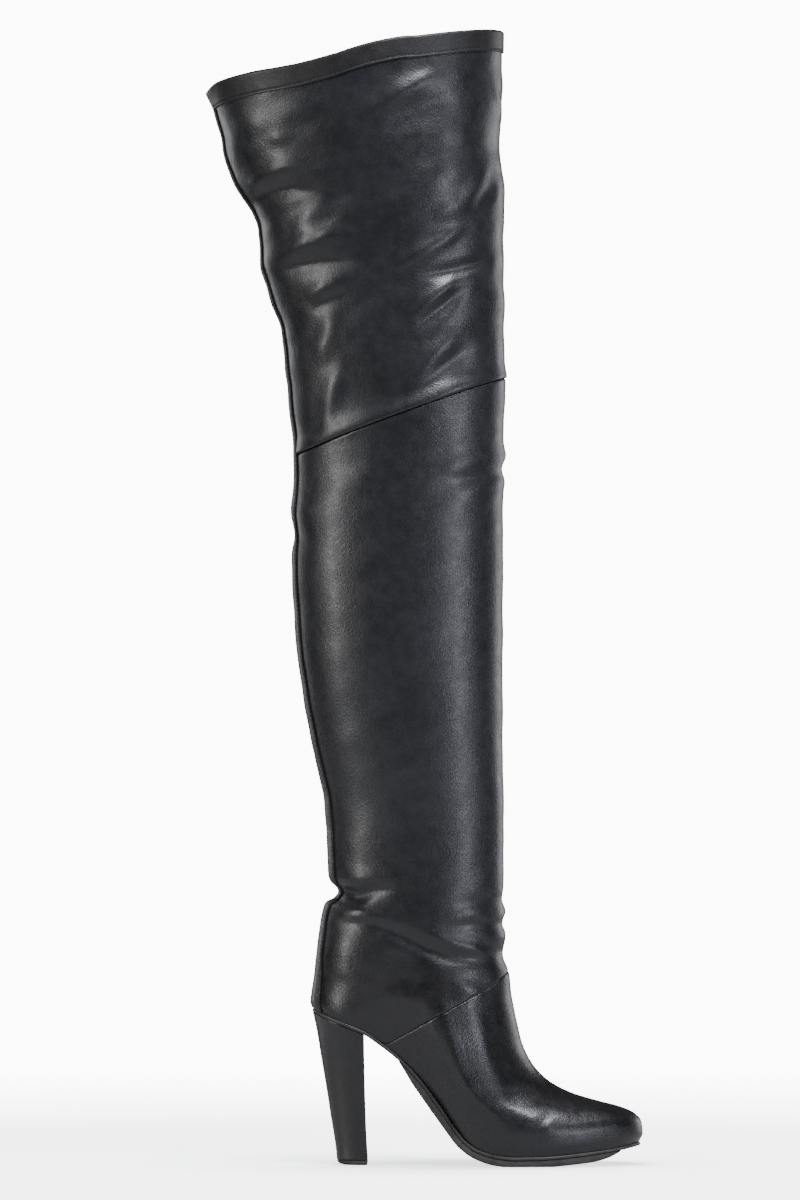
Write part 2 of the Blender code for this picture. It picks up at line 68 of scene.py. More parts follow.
# Leather
UPPER_WALL = 0.0018
STRIP_THICKNESS = 0.0010
STRIP_WIDTH = 0.034
BAND_THICKNESS = 0.0010
BAND_HEIGHT = 0.0142

# Bottom
OUTSOLE_THICKNESS = 0.0022
OUTSOLE_MARGIN = 0.0005
HALF_SOLE_THICKNESS = 0.0045
HALF_SOLE_INSET = 0.0006
TREAD_WEAR = 0.0006
TIP_DEPTH = 0.0205
TIP_WIDTH = 0.0220
TIP_THICKNESS = 0.0030
HEEL_INSET = 0.0004

# Gap between neighbours
GAP = 0.0003

# Heel breast and the ends of the half sole, as shares of the foot's length
BREAST_SHARE = 0.160
HALF_SOLE_START_SHARE = 0.270
HALF_SOLE_END_SHARE = 0.938

# The sole's side profile: share of the foot's length, share of the seat's rise over the ball,
# and share of the toe's lift over the ball
SOLE_PROFILE = (
    (0.0, 1.0, 0.0), (0.035, 0.962, 0.0), (0.09, 0.91, 0.0), (0.155, 0.85, 0.0),
    (0.215, 0.76, 0.0), (0.27, 0.66, 0.0), (0.335, 0.505, 0.0), (0.395, 0.325, 0.0),
    (0.436, 0.192, 0.0), (0.467, 0.108, 0.0), (0.505, 0.05, 0.0), (0.56, 0.013, 0.0),
    (0.62, 0.0, 0.0), (0.7, 0.0, 0.03), (0.772, 0.0, 0.16), (0.849, 0.0, 0.36),
    (0.925, 0.0, 0.62), (1.0, 0.0, 1.0),
)

# The sole's plan: share of the foot's length, outer and inner half widths as shares of half the ball's
# width, share of the toe's swing to the inner side, and share of the upper's bulge
SOLE_PLAN = (
    (0.0, 0.66, 0.66, 0.0, 0.2), (0.12, 0.67, 0.67, 0.0, 0.2), (0.24, 0.61, 0.58, 0.0, 0.5),
    (0.34, 0.57, 0.47, 0.0, 0.85), (0.42, 0.63, 0.46, 0.02, 1.0), (0.52, 0.86, 0.68, 0.08, 1.0),
    (0.62, 1.0, 0.93, 0.2, 1.0), (0.7, 1.0, 1.02, 0.36, 1.0), (0.8, 0.95, 1.01, 0.6, 0.95),
    (0.9, 0.9, 0.95, 0.84, 0.85), (1.0, 0.88, 0.92, 1.0, 0.8),
)

# The foot's loops, from the sole up to the ankle. Back and front give each end's place along the foot
# and its height, as shares of its length, and of the ankle's rise over the seat (back) or toe (front).
# Sag is the share of the sole's curve that a loop keeps, fill how far its sides have gone from the
# sole's plan to the ankle's width, and the ends are rounded over shares of the loop's length.
FOOT_LOOPS = (
    # back, back height, front, front height, sag, fill, bulge, back round, front round
    (0.0000, 0.000, 1.0000, 0.000, 1.00, 0.00, 0.00, 0.13, 0.33),
    (-0.0065, 0.051, 1.0110, 0.031, 1.00, 0.09, 0.55, 0.14, 0.34),
    (-0.0040, 0.112, 1.0065, 0.073, 1.00, 0.18, 0.85, 0.15, 0.36),
    (0.0000, 0.167, 0.9860, 0.103, 1.00, 0.26, 1.00, 0.17, 0.38),
    (0.0040, 0.223, 0.9410, 0.129, 1.00, 0.34, 1.00, 0.19, 0.40),
    (0.0075, 0.278, 0.8760, 0.150, 1.00, 0.42, 1.00, 0.21, 0.41),
    (0.0100, 0.333, 0.7980, 0.177, 1.00, 0.50, 0.95, 0.23, 0.42),
    (0.0135, 0.400, 0.7256, 0.220, 0.95, 0.58, 0.85, 0.26, 0.42),
    (0.0170, 0.466, 0.6740, 0.283, 0.85, 0.66, 0.70, 0.29, 0.42),
    (0.0210, 0.533, 0.6410, 0.359, 0.75, 0.74, 0.50, 0.33, 0.43),
    (0.0250, 0.605, 0.6215, 0.454, 0.60, 0.82, 0.30, 0.37, 0.44),
    (0.0285, 0.677, 0.6090, 0.539, 0.40, 0.90, 0.15, 0.41, 0.46),
    (0.0360, 0.749, 0.5980, 0.623, 0.25, 0.96, 0.05, 0.45, 0.48),
    (0.0585, 0.804, 0.5825, 0.690, 0.12, 0.99, 0.00, 0.48, 0.50),
    (0.0615, 0.854, 0.5890, 0.752, 0.05, 1.00, 0.00, 0.50, 0.50),
    (0.0550, 0.920, 0.5820, 0.842, 0.01, 1.00, 0.00, 0.50, 0.50),
    (0.0495, 1.000, 0.5850, 0.948, 0.00, 1.00, 0.00, 0.50, 0.50),
)

# The calf's loops: heights of the back and front ends over the ankle as shares of the knee's rise,
# the back end's distance behind the shin and the front end's before it as shares of the calf's depth,
# and the half width as a share of half the calf's width
CALF_LOOPS = (
    (0.080, 0.070, 0.850, -0.003, 0.82),
    (0.151, 0.151, 0.861, -0.003, 0.84),
    (0.243, 0.260, 0.905, -0.006, 0.89),
    (0.374, 0.411, 0.959, -0.006, 0.95),
    (0.508, 0.557, 0.999, -0.006, 0.99),
    (0.641, 0.705, 1.016, -0.006, 1.00),
    (0.749, 0.834, 1.021, -0.003, 1.00),
    (0.840, 0.968, 1.012, -0.002, 1.00),
    (0.915, 1.086, 1.008, 0.005, 1.01),
)

# The thigh's loops: heights over the knee as shares of the thigh's rise, the ends' distances from the
# shin as shares of the collar's depth, and the half width as a share of half the collar's width
THIGH_LOOPS = (
    (0.003, 0.239, 0.722, 0.000, 0.775),
    (0.131, 0.355, 0.736, 0.000, 0.790),
    (0.239, 0.454, 0.749, 0.000, 0.810),
    (0.329, 0.536, 0.786, 0.001, 0.835),
    (0.432, 0.626, 0.822, 0.001, 0.865),
    (0.527, 0.699, 0.826, -0.007, 0.890),
    (0.622, 0.768, 0.884, -0.016, 0.920),
    (0.710, 0.838, 0.935, -0.014, 0.950),
    (0.785, 0.918, 0.956, -0.004, 0.975),
    (0.857, 1.022, 0.980, -0.008, 0.990),
)

# How far the middle of a loop rises over its ends, as a share of the collar's depth, and how flat
# the rise is in its middle
KNEE_BOW = 0.010
COLLAR_BOW = 0.034
BOW_FULLNESS = 0.6

# How much the collar's back leans out over the band's height, as a share of that height
COLLAR_LEAN = 0.38

# The back strip's width up the leg: level, share of STRIP_WIDTH
STRIP_TAPER = (
    (0, 1.0), (5, 0.85), (12, 0.72), (16, 0.8), (21, 0.74), (25, 0.6), (30, 0.48), (35, 0.45),
)

# The heel block: share of its height, then how far its back, breast and sides have gone from the
# tip's outline to the seat's
HEEL_ROWS = (
    (0.0, 0.0, 0.0, 0.0), (0.08, 0.045, 0.25, 0.01), (0.17, 0.124, 0.5, 0.04),
    (0.3, 0.257, 0.72, 0.1), (0.44, 0.385, 0.86, 0.19), (0.57, 0.518, 0.94, 0.3),
    (0.7, 0.652, 0.98, 0.44), (0.84, 0.79, 1.0, 0.64), (0.93, 0.895, 1.0, 0.83),
    (1.0, 1.0, 1.0, 1.0),
)

# The heel's tip, worn round at its back: share of its thickness, and how far its back, its breast
# and its sides are drawn in, as shares of its depth and of half its width
TIP_ROWS = (
    (0.0, 0.22, 0.04, 0.07),
    (0.35, 0.07, 0.01, 0.02),
    (1.0, 0.0, 0.0, 0.0),
)

# The tread's thickness along its length, as shares of each
TREAD_TAPER = (
    (0.0, 0.04), (0.04, 0.45), (0.08, 0.82), (0.13, 1.0), (0.18, 1.02), (0.24, 0.92), (0.34, 0.94),
    (0.42, 1.0), (0.86, 1.0), (0.94, 0.7), (1.0, 0.1),
)

# The hollow of the heel's breast
BREAST_HOLLOW = 0.0015

SEAT_X = -SEAT_BEHIND_TIP
BALL_HEIGHT = OUTSOLE_THICKNESS + HALF_SOLE_THICKNESS + 2 * GAP - TREAD_WEAR
ANKLE_HEIGHT = SEAT_HEIGHT + ANKLE_RISE
TOE_HEIGHT = BALL_HEIGHT + TOE_LIFT
SHIN_X = SEAT_X + FOOT_LOOPS[-1][2] * FOOT_LENGTH
KNEE_HEIGHT = ANKLE_HEIGHT + KNEE_RISE
KNEE_LEVEL = len(FOOT_LOOPS) + len(CALF_LOOPS) - 1
BAND_LEVEL = KNEE_LEVEL + len(THIGH_LOOPS)
RIM_LEVEL = BAND_LEVEL + 1


def smooth(knots, values, at):
    """Monotone cubic curve through the rows of a table."""
    knots = np.asarray(knots, float)
    values = np.asarray(values, float)
    step = np.diff(knots)
    slope = np.diff(values) / step
    before = 2 * step[1:] + step[:-1]
    after = step[1:] + 2 * step[:-1]
    same_way = slope[:-1] * slope[1:] > 0
    safe_low = np.where(same_way, slope[:-1], 1.0)
    safe_high = np.where(same_way, slope[1:], 1.0)
    mean = (before + after) / (before / safe_low + after / safe_high)
    tangent = np.concatenate(([slope[0]], np.where(same_way, mean, 0.0), [slope[-1]]))
    at = np.clip(at, knots[0], knots[-1])
    row = np.clip(np.searchsorted(knots, at, side="right") - 1, 0, len(step) - 1)
    width = step[row]
    s = (at - knots[row]) / width
    start = (1 + 2 * s) * (1 - s) ** 2 * values[row] + s * (1 - s) ** 2 * width * tangent[row]
    end = s * s * (3 - 2 * s) * values[row + 1] + s * s * (s - 1) * width * tangent[row + 1]
    return start + end


def column(table, number):
    return [row[number] for row in table]


def table_at(table, number, at):
    """A table's column as a curve over its first column."""
    return smooth(column(table, 0), column(table, number), at)


def sole_height(share):
    """Height of the upper's lower edge along the foot's length."""
    rise, lift = (table_at(SOLE_PROFILE, number, share) for number in (1, 2))
    return BALL_HEIGHT + (SEAT_HEIGHT - BALL_HEIGHT) * rise + TOE_LIFT * lift


def sole_sag(x, back_x, front_x, share):
    """How far the sole's profile lies from the straight line between two of its places."""
    along, back, front = (sole_height((place - SEAT_X) / FOOT_LENGTH) for place in (x, back_x, front_x))
    return along - back - (front - back) * share


def loop_rows():
    """Every loop in metres: back x and z, front x and z, sag, fill, bulge, half width, rounds, bow."""
    rows = []
    for back, back_up, front, front_up, sag, fill, bulge, back_round, front_round in FOOT_LOOPS:
        back_z = SEAT_HEIGHT + ANKLE_RISE * back_up
        front_z = TOE_HEIGHT + (ANKLE_HEIGHT - TOE_HEIGHT) * front_up
        ends = (SEAT_X + FOOT_LENGTH * back, back_z, SEAT_X + FOOT_LENGTH * front, front_z)
        rows.append((*ends, sag, fill, UPPER_BULGE * bulge, ANKLE_WIDTH / 2, back_round, front_round, 0.0))
    for number, (back_up, front_up, behind, before, side) in enumerate(CALF_LOOPS, 1):
        back_z = ANKLE_HEIGHT + KNEE_RISE * back_up
        front_z = ANKLE_HEIGHT + KNEE_RISE * front_up
        ends = (SHIN_X - CALF_DEPTH * behind, back_z, SHIN_X + CALF_DEPTH * before, front_z)
        bow = COLLAR_DEPTH * KNEE_BOW * number / len(CALF_LOOPS)
        rows.append((*ends, 0.0, 1.0, 0.0, CALF_WIDTH / 2 * side, 0.5, 0.5, bow))
    for number, (back_up, front_up, behind, before, side) in enumerate(THIGH_LOOPS, 1):
        back_z = KNEE_HEIGHT + THIGH_RISE * back_up
        front_z = KNEE_HEIGHT + THIGH_RISE * front_up
        ends = (SHIN_X - COLLAR_DEPTH * behind, back_z, SHIN_X + COLLAR_DEPTH * before, front_z)
        bow = COLLAR_DEPTH * (KNEE_BOW + (COLLAR_BOW - KNEE_BOW) * number / len(THIGH_LOOPS))
        rows.append((*ends, 0.0, 1.0, 0.0, COLLAR_WIDTH / 2 * side, 0.5, 0.5, bow))
    edge = rows[-1]
    rise = BAND_HEIGHT - GAP - BAND_THICKNESS
    ends = (edge[0] - COLLAR_LEAN * rise, edge[1] + rise, edge[2], edge[3] + rise)
    rows.append((*ends, 0.0, 1.0, 0.0, COLLAR_WIDTH / 2, 0.5, 0.5, edge[10]))
    return rows


LOOPS = loop_rows()
LEVELS = range(len(LOOPS))


def end_round(share, zone):
    """Quarter ellipse from 0 at a loop's end to 1 where its rounding stops."""
    reach = np.clip(share / zone, 0.0, 1.0)
    return np.sqrt(1 - (1 - reach) ** 2)


def skin(angle, level):
    """Points on the leather's outer face, for arrays of angles and levels."""
    angle, level = np.broadcast_arrays(np.asarray(angle, float), np.asarray(level, float))
    angle = (angle + math.pi) % (2 * math.pi) - math.pi
    outer = angle < 0
    share = (1 - np.cos(angle)) / 2
    values = [smooth(LEVELS, column(LOOPS, number), level) for number in range(len(LOOPS[0]))]
    back_x, back_z, front_x, front_z, sag, fill, bulge, half, back_round, front_round, bow = values
    plan = [table_at(SOLE_PLAN, number, share) for number in range(1, 5)]
    sole_half = BALL_WIDTH / 2 * np.where(outer, plan[0], plan[1])
    swing = TOE_SWING * plan[2] * (1 - fill)
    side = sole_half * (1 - fill) + half * fill + bulge * plan[3]
    side = side * end_round(share, back_round) * end_round(1 - share, front_round)
    x = back_x + (front_x - back_x) * share
    z = back_z + (front_z - back_z) * share + sag * sole_sag(x, back_x, front_x, share)
    z = z + bow * np.sin(math.pi * share) ** BOW_FULLNESS
    y = swing + np.where(outer, -side, side)
    return np.stack([x, y, z], -1)


def unit(vectors):
    return vectors / np.linalg.norm(vectors, axis=-1, keepdims=True)


def rim_wave(x, level):
    """How far the collar rises over its plain shape, in metres, along its length."""
    share = np.clip((level - WAVE_FROM) / WAVE_SPAN, 0, 1)
    rise = table_at(RIM_WAVE, 1, x / MM)
    return rise * MM * share * share * (3 - 2 * share)


def skin_frame(angle, level):
    """Points on the skin, their outward normals and their directions up the leg."""
    small = 0.004
    points = skin(angle, level)
    around = skin(angle + small, level) - skin(angle - small, level)
    up = skin(angle, np.minimum(level + small, RIM_LEVEL)) - skin(angle, np.maximum(level - small, 0))
    points[..., 2] += rim_wave(points[..., 0], level)
    return points, unit(np.cross(up, around)), unit(up)


def strip_angles(levels, sign):
    """Angles of the back strip's edge at an array of levels, found along the skin."""
    angles = np.linspace(0, 1.2, 49)
    points = skin(sign * angles[None, :], levels[:, None])
    steps = np.linalg.norm(np.diff(points, axis=1), axis=2)
    along = np.concatenate((np.zeros((len(levels), 1)), np.cumsum(steps, axis=1)), axis=1)
    halves = STRIP_WIDTH / 2 * table_at(STRIP_TAPER, 1, levels)
    return np.array([np.interp(half, row, angles) for half, row in zip(halves, along)])


# How the collar waves: place along the boot and rise, both in millimetres, and the level from which
# it waves and the levels over which it grows
RIM_WAVE = (
    (-99, -2.6), (-95, -0.6), (-88, 2.0), (-64, 0.7), (-50, -0.9), (-33, -2.0),
    (-12, -1.2), (0, 0.3), (15, 1.6), (30, 2.0), (45, 0.9), (98, 0.6),
)
WAVE_FROM = 33.0
WAVE_SPAN = 2.0

# Creases as soft ridges (height over 0) and troughs (under 0), all in millimetres.
# Each is: half width, height, where it runs on to (front, back or none), and its points (x, z).
NEAR_CREASES = (
    (7, 2.1, "", ((6, 684), (31, 700), (56, 712))),
    (8, -1.0, "", ((20, 676), (42, 687), (66, 696))),
    (7, 0.9, "", ((-76, 679), (-54, 681))),
    (5, 0.7, "", ((-53, 670), (-38, 672))),
    (7, 2.2, "", ((-67, 640), (-44, 651), (-17, 645))),
    (5.5, -1.9, "", ((-66, 631), (-45, 637), (-22, 634))),
    (6, 0.9, "", ((-40, 609), (-13, 634))),
    (5, -0.6, "", ((-30, 604), (-8, 622))),
    (7, 2.2, "", ((-46, 597), (-21, 606), (2, 610))),
    (6, -2.0, "", ((-52, 585), (-25, 589), (2, 590))),
    (6, 1.4, "", ((-30, 568), (-4, 580))),
    (5, -1.0, "", ((-26, 559), (0, 570))),
    (8, 1.2, "", ((-22, 526), (-15, 548), (-10, 567))),
    (7, 1.2, "", ((-19, 480), (-13, 504), (-6, 527))),
    (6, 0.9, "", ((53, 619), (72, 629))),
    (7, 1.0, "", ((68, 622), (80, 640), (88, 652))),
    (6, -1.2, "", ((78, 620), (86, 632), (93, 642))),
    (6, 1.9, "", ((26, 586), (47, 597), (73, 612))),
    (5.5, -1.9, "", ((44, 580), (70, 585), (92, 592))),
    (6, 1.9, "", ((33, 551), (51, 565), (68, 580))),
    (5.5, -1.6, "", ((40, 544), (58, 560), (76, 574))),
    (8, 2.0, "", ((33, 508), (51, 527), (72, 547))),
    (6, -1.2, "", ((46, 508), (62, 524), (80, 536))),
    (6, 1.4, "", ((-37, 472), (-6, 482), (30, 494), (60, 506), (95, 519))),
    (4, 0.7, "front", ((92, 705), (97, 686))),
    (6, 0.6, "front", ((57, 454), (80, 460), (98, 464))),
    (5, -0.6, "front", ((60, 447), (80, 450), (98, 455))),
    (5, 0.6, "front", ((66, 440), (96, 447))),
    (8, -0.8, "back", ((-38, 412), (-26, 408))),
    (7, 0.7, "back", ((-37, 430), (-22, 426))),
    (5, 1.0, "", ((-8, 188), (10, 189), (30, 188))),
    (4.5, -2.2, "back", ((-10, 179), (2, 177), (13, 180), (30, 181))),
    (6, 1.4, "", ((-6, 165), (8, 165), (22, 162))),
    (5, -1.9, "", ((-12, 157), (17, 157), (42, 146), (57, 139), (77, 135), (95, 133))),
    (4, 1.2, "", ((46, 154), (62, 147), (80, 142), (92, 138))),
    (3.5, -0.8, "front", ((57, 157), (78, 157), (97, 159))),
    (4, 0.6, "front", ((60, 163), (80, 165), (98, 166))),
    (4, -0.5, "front", ((66, 171), (82, 173), (98, 175))),
    (5, 0.8, "", ((64, 122), (78, 115), (86, 110))),
    (6, -0.7, "", ((30, 123), (52, 117), (70, 108))),
    (5, 0.7, "", ((20, 112), (44, 108))),
    (3, -0.3, "", ((119, 26), (125, 31), (131, 40))),
    (3, 0.2, "", ((124, 24), (131, 32))),
    (9, 1.1, "", ((74, 114), (79, 100), (85, 80), (92, 60), (101, 38))),
    (24, 3.0, "", ((72, 712), (66, 672), (52, 630), (30, 596))),
)

FAR_CREASES = (
    (7, 1.6, "", ((-60, 676), (-36, 684), (-8, 680))),
    (7, -1.4, "", ((-50, 664), (-28, 670), (0, 668))),
    (7, 1.8, "", ((20, 668), (44, 684), (70, 690))),
    (6, -1.5, "", ((28, 658), (52, 672), (78, 678))),
    (7, 2.0, "", ((-58, 628), (-34, 640), (-6, 636))),
    (6, -1.8, "", ((-54, 616), (-30, 626), (0, 624))),
    (7, 1.7, "", ((36, 626), (64, 640), (92, 648))),
    (6, -1.6, "", ((40, 614), (68, 626), (92, 636))),
    (7, 1.9, "", ((-40, 590), (-16, 600), (10, 596))),
    (6, -1.8, "", ((-42, 579), (-18, 586), (12, 584))),
    (7, 1.5, "", ((28, 576), (52, 588), (80, 600))),
    (6, -1.7, "", ((32, 564), (60, 576), (92, 588))),
    (7, 1.4, "", ((-24, 520), (-16, 544), (-12, 562))),
    (7, 1.5, "", ((36, 530), (58, 546), (78, 556))),
    (6, -1.2, "", ((44, 518), (66, 532), (86, 540))),
    (6, 1.0, "front", ((58, 456), (82, 462), (98, 465))),
    (5, -0.9, "front", ((62, 446), (82, 450), (98, 456))),
    (8, -0.9, "back", ((-38, 412), (-24, 406))),
    (5, 1.0, "", ((-6, 189), (14, 190), (32, 187))),
    (4.5, -2.0, "back", ((-10, 179), (4, 177), (20, 180), (36, 178))),
    (6, 1.3, "", ((-6, 166), (10, 165), (26, 161))),
    (5, -1.8, "", ((-10, 156), (20, 154), (46, 145), (72, 137), (95, 133))),
    (4, 1.1, "", ((44, 155), (64, 147), (88, 141))),
    (3.5, -0.8, "front", ((56, 159), (78, 158), (97, 159))),
    (4, 0.6, "front", ((60, 165), (80, 166), (98, 166))),
    (4, -0.5, "front", ((66, 172), (84, 174), (98, 175))),
    (5, 0.8, "", ((60, 120), (76, 113), (86, 106))),
    (6, -0.7, "", ((34, 120), (54, 114), (70, 104))),
)

# One factor on every crease's height, and how many of its half widths a crease reaches
CREASE_GAIN = 1.25
CREASE_REACH = 2.6

# How strongly the leather ripples, up the leg: height in millimetres, and millimetres of ripple,
# then each ripple's size in metres, place in the noise and share
RIPPLE = (
    (0, 0.10), (90, 0.20), (130, 0.55), (185, 0.50), (240, 0.28),
    (400, 0.25), (455, 0.45), (520, 0.60), (640, 0.65), (742, 0.55),
)
RIPPLE_WAVES = ((0.034, 3.0, 1.0), (0.012, 9.0, 0.35))

# Drawn folds between the creases: how they slant, in radians, their length and width in metres,
# their height as a share of the ripple, and their place in the noise
DRAWN_SLANT = 0.40
DRAWN_LENGTH = 0.060
DRAWN_WIDTH = 0.017
DRAWN_SHARE = 1.9
DRAWN_PLACE = 31.0

# The vamp seam on one side, from the front of the instep down to the sole: places (x, z)
VAMP_SEAM = ((102.0, 126.4), (91.4, 117.6), (75.7, 109.1), (49.5, 95.3), (32.0, 85.0), (17.5, 76.0))

# Turned edges, in millimetres: distances from a seam at which the leather's rows lie closer, how far
# those rows reach, the roll's width and depth, and the share of the depth at the vamp seam
EDGE_STEPS = (0.0, 0.3, 0.6, 1.0, 1.5, 2.2, 3.1)
EDGE_REACH = 4.2
EDGE_ROLL = 2.1
ROLL_DEPTH = 1.2
SEAM_DEPTH = 0.6
SEAM_PULL = 0.1

# Thickness of the leather sheets, and the least share of it that is left under a turned edge
LEATHER = 0.0011
EDGE_SHARE = 0.5

# Columns round the leg, rows up the foot and the calf, the share of the rows that the foot takes,
# columns of half the vamp and its rows, and the thigh's rows
SHEET_COLUMNS = 240
FOOT_ROWS = 62
CALF_ROWS = 118
FOOT_ROW_SHARE = 0.64
VAMP_COLUMNS = 121
VAMP_ROWS = 66
THIGH_ROWS = 150

# Levels over which the relief grows over the sole and the normals turn level there, and the levels
# and the power with which it fades under the band
SOLE_FADE = 1.5
FLAT_LEVELS = 0.8
BAND_FADE_FROM = 34.55
BAND_FADE_END = 0.05
BAND_FADE_POWER = 0.7

# The thigh's lower edge laps over the calf: height and reach in metres
LAP_HEIGHT = 0.001
LAP_REACH = 0.007

# The lining's two faces under the leather, in metres, and its columns
LINING_FACES = (0.001, 0.0015)
LINING_COLUMNS = 120

# Stitches in metres: pitch, length, width, rise, distance from the strip's edge, sinking into the
# strip and the band, share of the band's height, and the angle of a sharp edge in degrees
STITCH_PITCH = 0.0028
STITCH_LENGTH = 0.0021
STITCH_WIDTH = 0.00055
STITCH_RISE = 0.00028
STITCH_INSET = 0.0016
STRIP_SINK = 0.00025
BAND_SINK = 0.00022
STITCH_SHARE = 0.11
STITCH_SHARP = 80

GRID_ANGLES = np.linspace(-math.pi, math.pi, 721)
GRID_LEVELS = np.linspace(0, RIM_LEVEL, 721)
GRID = skin(GRID_ANGLES[None, :], GRID_LEVELS[:, None])


def locate(x, z, sign):
    """Angle and level of the skin's point that the side view shows at x and z."""
    side = GRID_ANGLES * sign >= 0
    places = GRID[:, side]
    away = (places[..., 0] - x) ** 2 + (places[..., 2] - z) ** 2
    row, spot = np.unravel_index(away.argmin(), away.shape)
    return GRID_ANGLES[side][spot], GRID_LEVELS[row]


def lay_creases(rows, sign):
    """Each crease as places on the skin, 2 mm apart, with their share of the height."""
    creases = []
    for width, height, runs_on, points in rows:
        spots = np.array([locate(x * MM, z * MM, sign) for x, z in points])
        if runs_on == "front":
            spots[-1, 0] = sign * math.pi
        if runs_on == "back":
            spots[0, 0] = 0.0
        corners = skin(spots[:, 0], spots[:, 1])
        knots = np.concatenate(([0], np.cumsum(np.linalg.norm(np.diff(corners, axis=0), axis=1))))
        at = np.linspace(0, knots[-1], max(5, int(knots[-1] / (2 * MM))))
        if len(points) == 2:
            path = [np.interp(at, knots, spots[:, axis]) for axis in (0, 1)]
        else:
            path = [smooth(knots, spots[:, axis], at) for axis in (0, 1)]
        share = np.linspace(0, 1, len(at))
        taper = np.sin(math.pi * share)
        if runs_on:
            reach = share if runs_on == "front" else 1 - share
            taper = np.where(reach > 0.5, 1.0, taper)
        creases.append((skin(*path), np.maximum(taper, 0.02), width * MM, height * CREASE_GAIN * MM))
    return creases


CREASES = lay_creases(NEAR_CREASES, -1) + lay_creases(FAR_CREASES, 1)


def ripple(points, size, offset):
    """Smooth noise, one value for each point."""
    places = points / size + offset
    return np.array([noise.noise(place) for place in places])


def relief(points, level):
    """How far the leather stands out from its plain shape at each point, in metres."""
    total = np.zeros(len(points))
    for places, taper, width, height in CREASES:
        low = places.min(0) - CREASE_REACH * width
        high = places.max(0) + CREASE_REACH * width
        near = np.flatnonzero(((points > low) & (points < high)).all(1))
        if len(near):
            away = ((points[near, None, :] - places[None]) ** 2).sum(-1)
            wide = width * (0.55 + 0.45 * taper)
            total[near] += height * (taper * np.exp(-away / wide ** 2)).max(1)
    amount = table_at(RIPPLE, 1, points[:, 2] / MM) * MM
    total += amount * sum(share * ripple(points, size, place) for size, place, share in RIPPLE_WAVES)
    along = points[:, 0] * math.cos(DRAWN_SLANT) + points[:, 2] * math.sin(DRAWN_SLANT)
    across = points[:, 2] * math.cos(DRAWN_SLANT) - points[:, 0] * math.sin(DRAWN_SLANT)
    drawn = np.stack([along / DRAWN_LENGTH, points[:, 1] / DRAWN_LENGTH, across / DRAWN_WIDTH], -1)
    total += DRAWN_SHARE * amount * ripple(drawn, 1.0, DRAWN_PLACE)
    total *= np.clip(level / SOLE_FADE, 0, 1)
    fade = np.clip((BAND_LEVEL - BAND_FADE_END - level) / (BAND_LEVEL - BAND_FADE_FROM), 0, 1)
    return total * fade ** BAND_FADE_POWER


def leather(angle, level):
    """Points on the creased leather's outer face, with their outward normals and directions up."""
    angle, level = np.broadcast_arrays(np.asarray(angle, float), np.asarray(level, float))
    shape = angle.shape
    points, normals, up = skin_frame(angle.ravel(), level.ravel())
    normals[:, 2] *= np.clip(level.ravel() / FLAT_LEVELS, 0, 1)
    normals = unit(normals)
    points = points + normals * relief(points, level.ravel())[:, None]
    return tuple(part.reshape(*shape, 3) for part in (points, normals, up))


def roll(distance):
    """How far a turned edge dips at a distance from its seam."""
    reach = np.clip(distance / (EDGE_ROLL * MM), 0, 1)
    return ROLL_DEPTH * MM * (1 - np.sqrt(1 - (1 - reach) ** 2))


def level_size(angle, level):
    """Metres of leather in one level, there."""
    small = 0.02
    low, high = np.maximum(level - small, 0), np.minimum(level + small, RIM_LEVEL)
    return np.linalg.norm(skin(angle, high) - skin(angle, low), axis=-1) / (high - low)


def sheet_levels(angle, bottom, top, between, low_edge, high_edge):
    """Rows of levels from a lower edge to an upper one, closer at edges, with distances to both."""
    steps = np.array(EDGE_STEPS) * MM
    low_size, high_size = level_size(angle, bottom), level_size(angle, top)
    room = np.maximum(top - bottom, 1e-6)
    low_reach = EDGE_REACH * MM / low_size if low_edge else 0 * bottom
    high_reach = EDGE_REACH * MM / high_size if high_edge else 0 * top
    squeeze = np.minimum(1, 0.8 * room / np.maximum(low_reach + high_reach, 1e-9))
    rows = []
    if low_edge:
        rows += [bottom + step / low_size * squeeze for step in steps]
    inside_low, inside_high = bottom + low_reach * squeeze, top - high_reach * squeeze
    rows += [inside_low + (inside_high - inside_low) * share for share in between]
    if high_edge:
        rows += [top - step / high_size * squeeze for step in steps[::-1]]
    rows = np.array(rows)
    return rows, (rows - bottom) * low_size, (top - rows) * high_size


def body_from(name, points, faces, material, node=None, sharp=50):
    """One closed mesh, faces out, that rides on the boot and may stand for a solid."""
    mesh = bpy.data.meshes.new(name)
    mesh.from_pydata(np.asarray(points).tolist(), [], faces)
    work = bmesh.new()
    work.from_mesh(mesh)
    bmesh.ops.remove_doubles(work, verts=work.verts, dist=1e-6)
    bmesh.ops.dissolve_degenerate(work, edges=work.edges, dist=1e-7)
    bmesh.ops.recalc_face_normals(work, faces=work.faces)
    if work.calc_volume(signed=True) < 0:
        bmesh.ops.reverse_faces(work, faces=work.faces)
    work.to_mesh(mesh)
    work.free()
    mesh.shade_smooth()
    mesh.set_sharp_from_angle(angle=math.radians(sharp))
    mesh.materials.append(material)
    thing = bpy.data.objects.new(name, mesh)
    bpy.context.scene.collection.objects.link(thing)
    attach(thing, "root")
    if node:
        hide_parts(node)


def ring_faces(rows, around, closed_rows):
    """Quads between rings of equal size."""
    faces = []
    for row in range(rows if closed_rows else rows - 1):
        low, high = row * around, (row + 1) % rows * around
        for spot in range(around):
            after = (spot + 1) % around
            faces.append((low + spot, low + after, high + after, high + spot))
    return faces


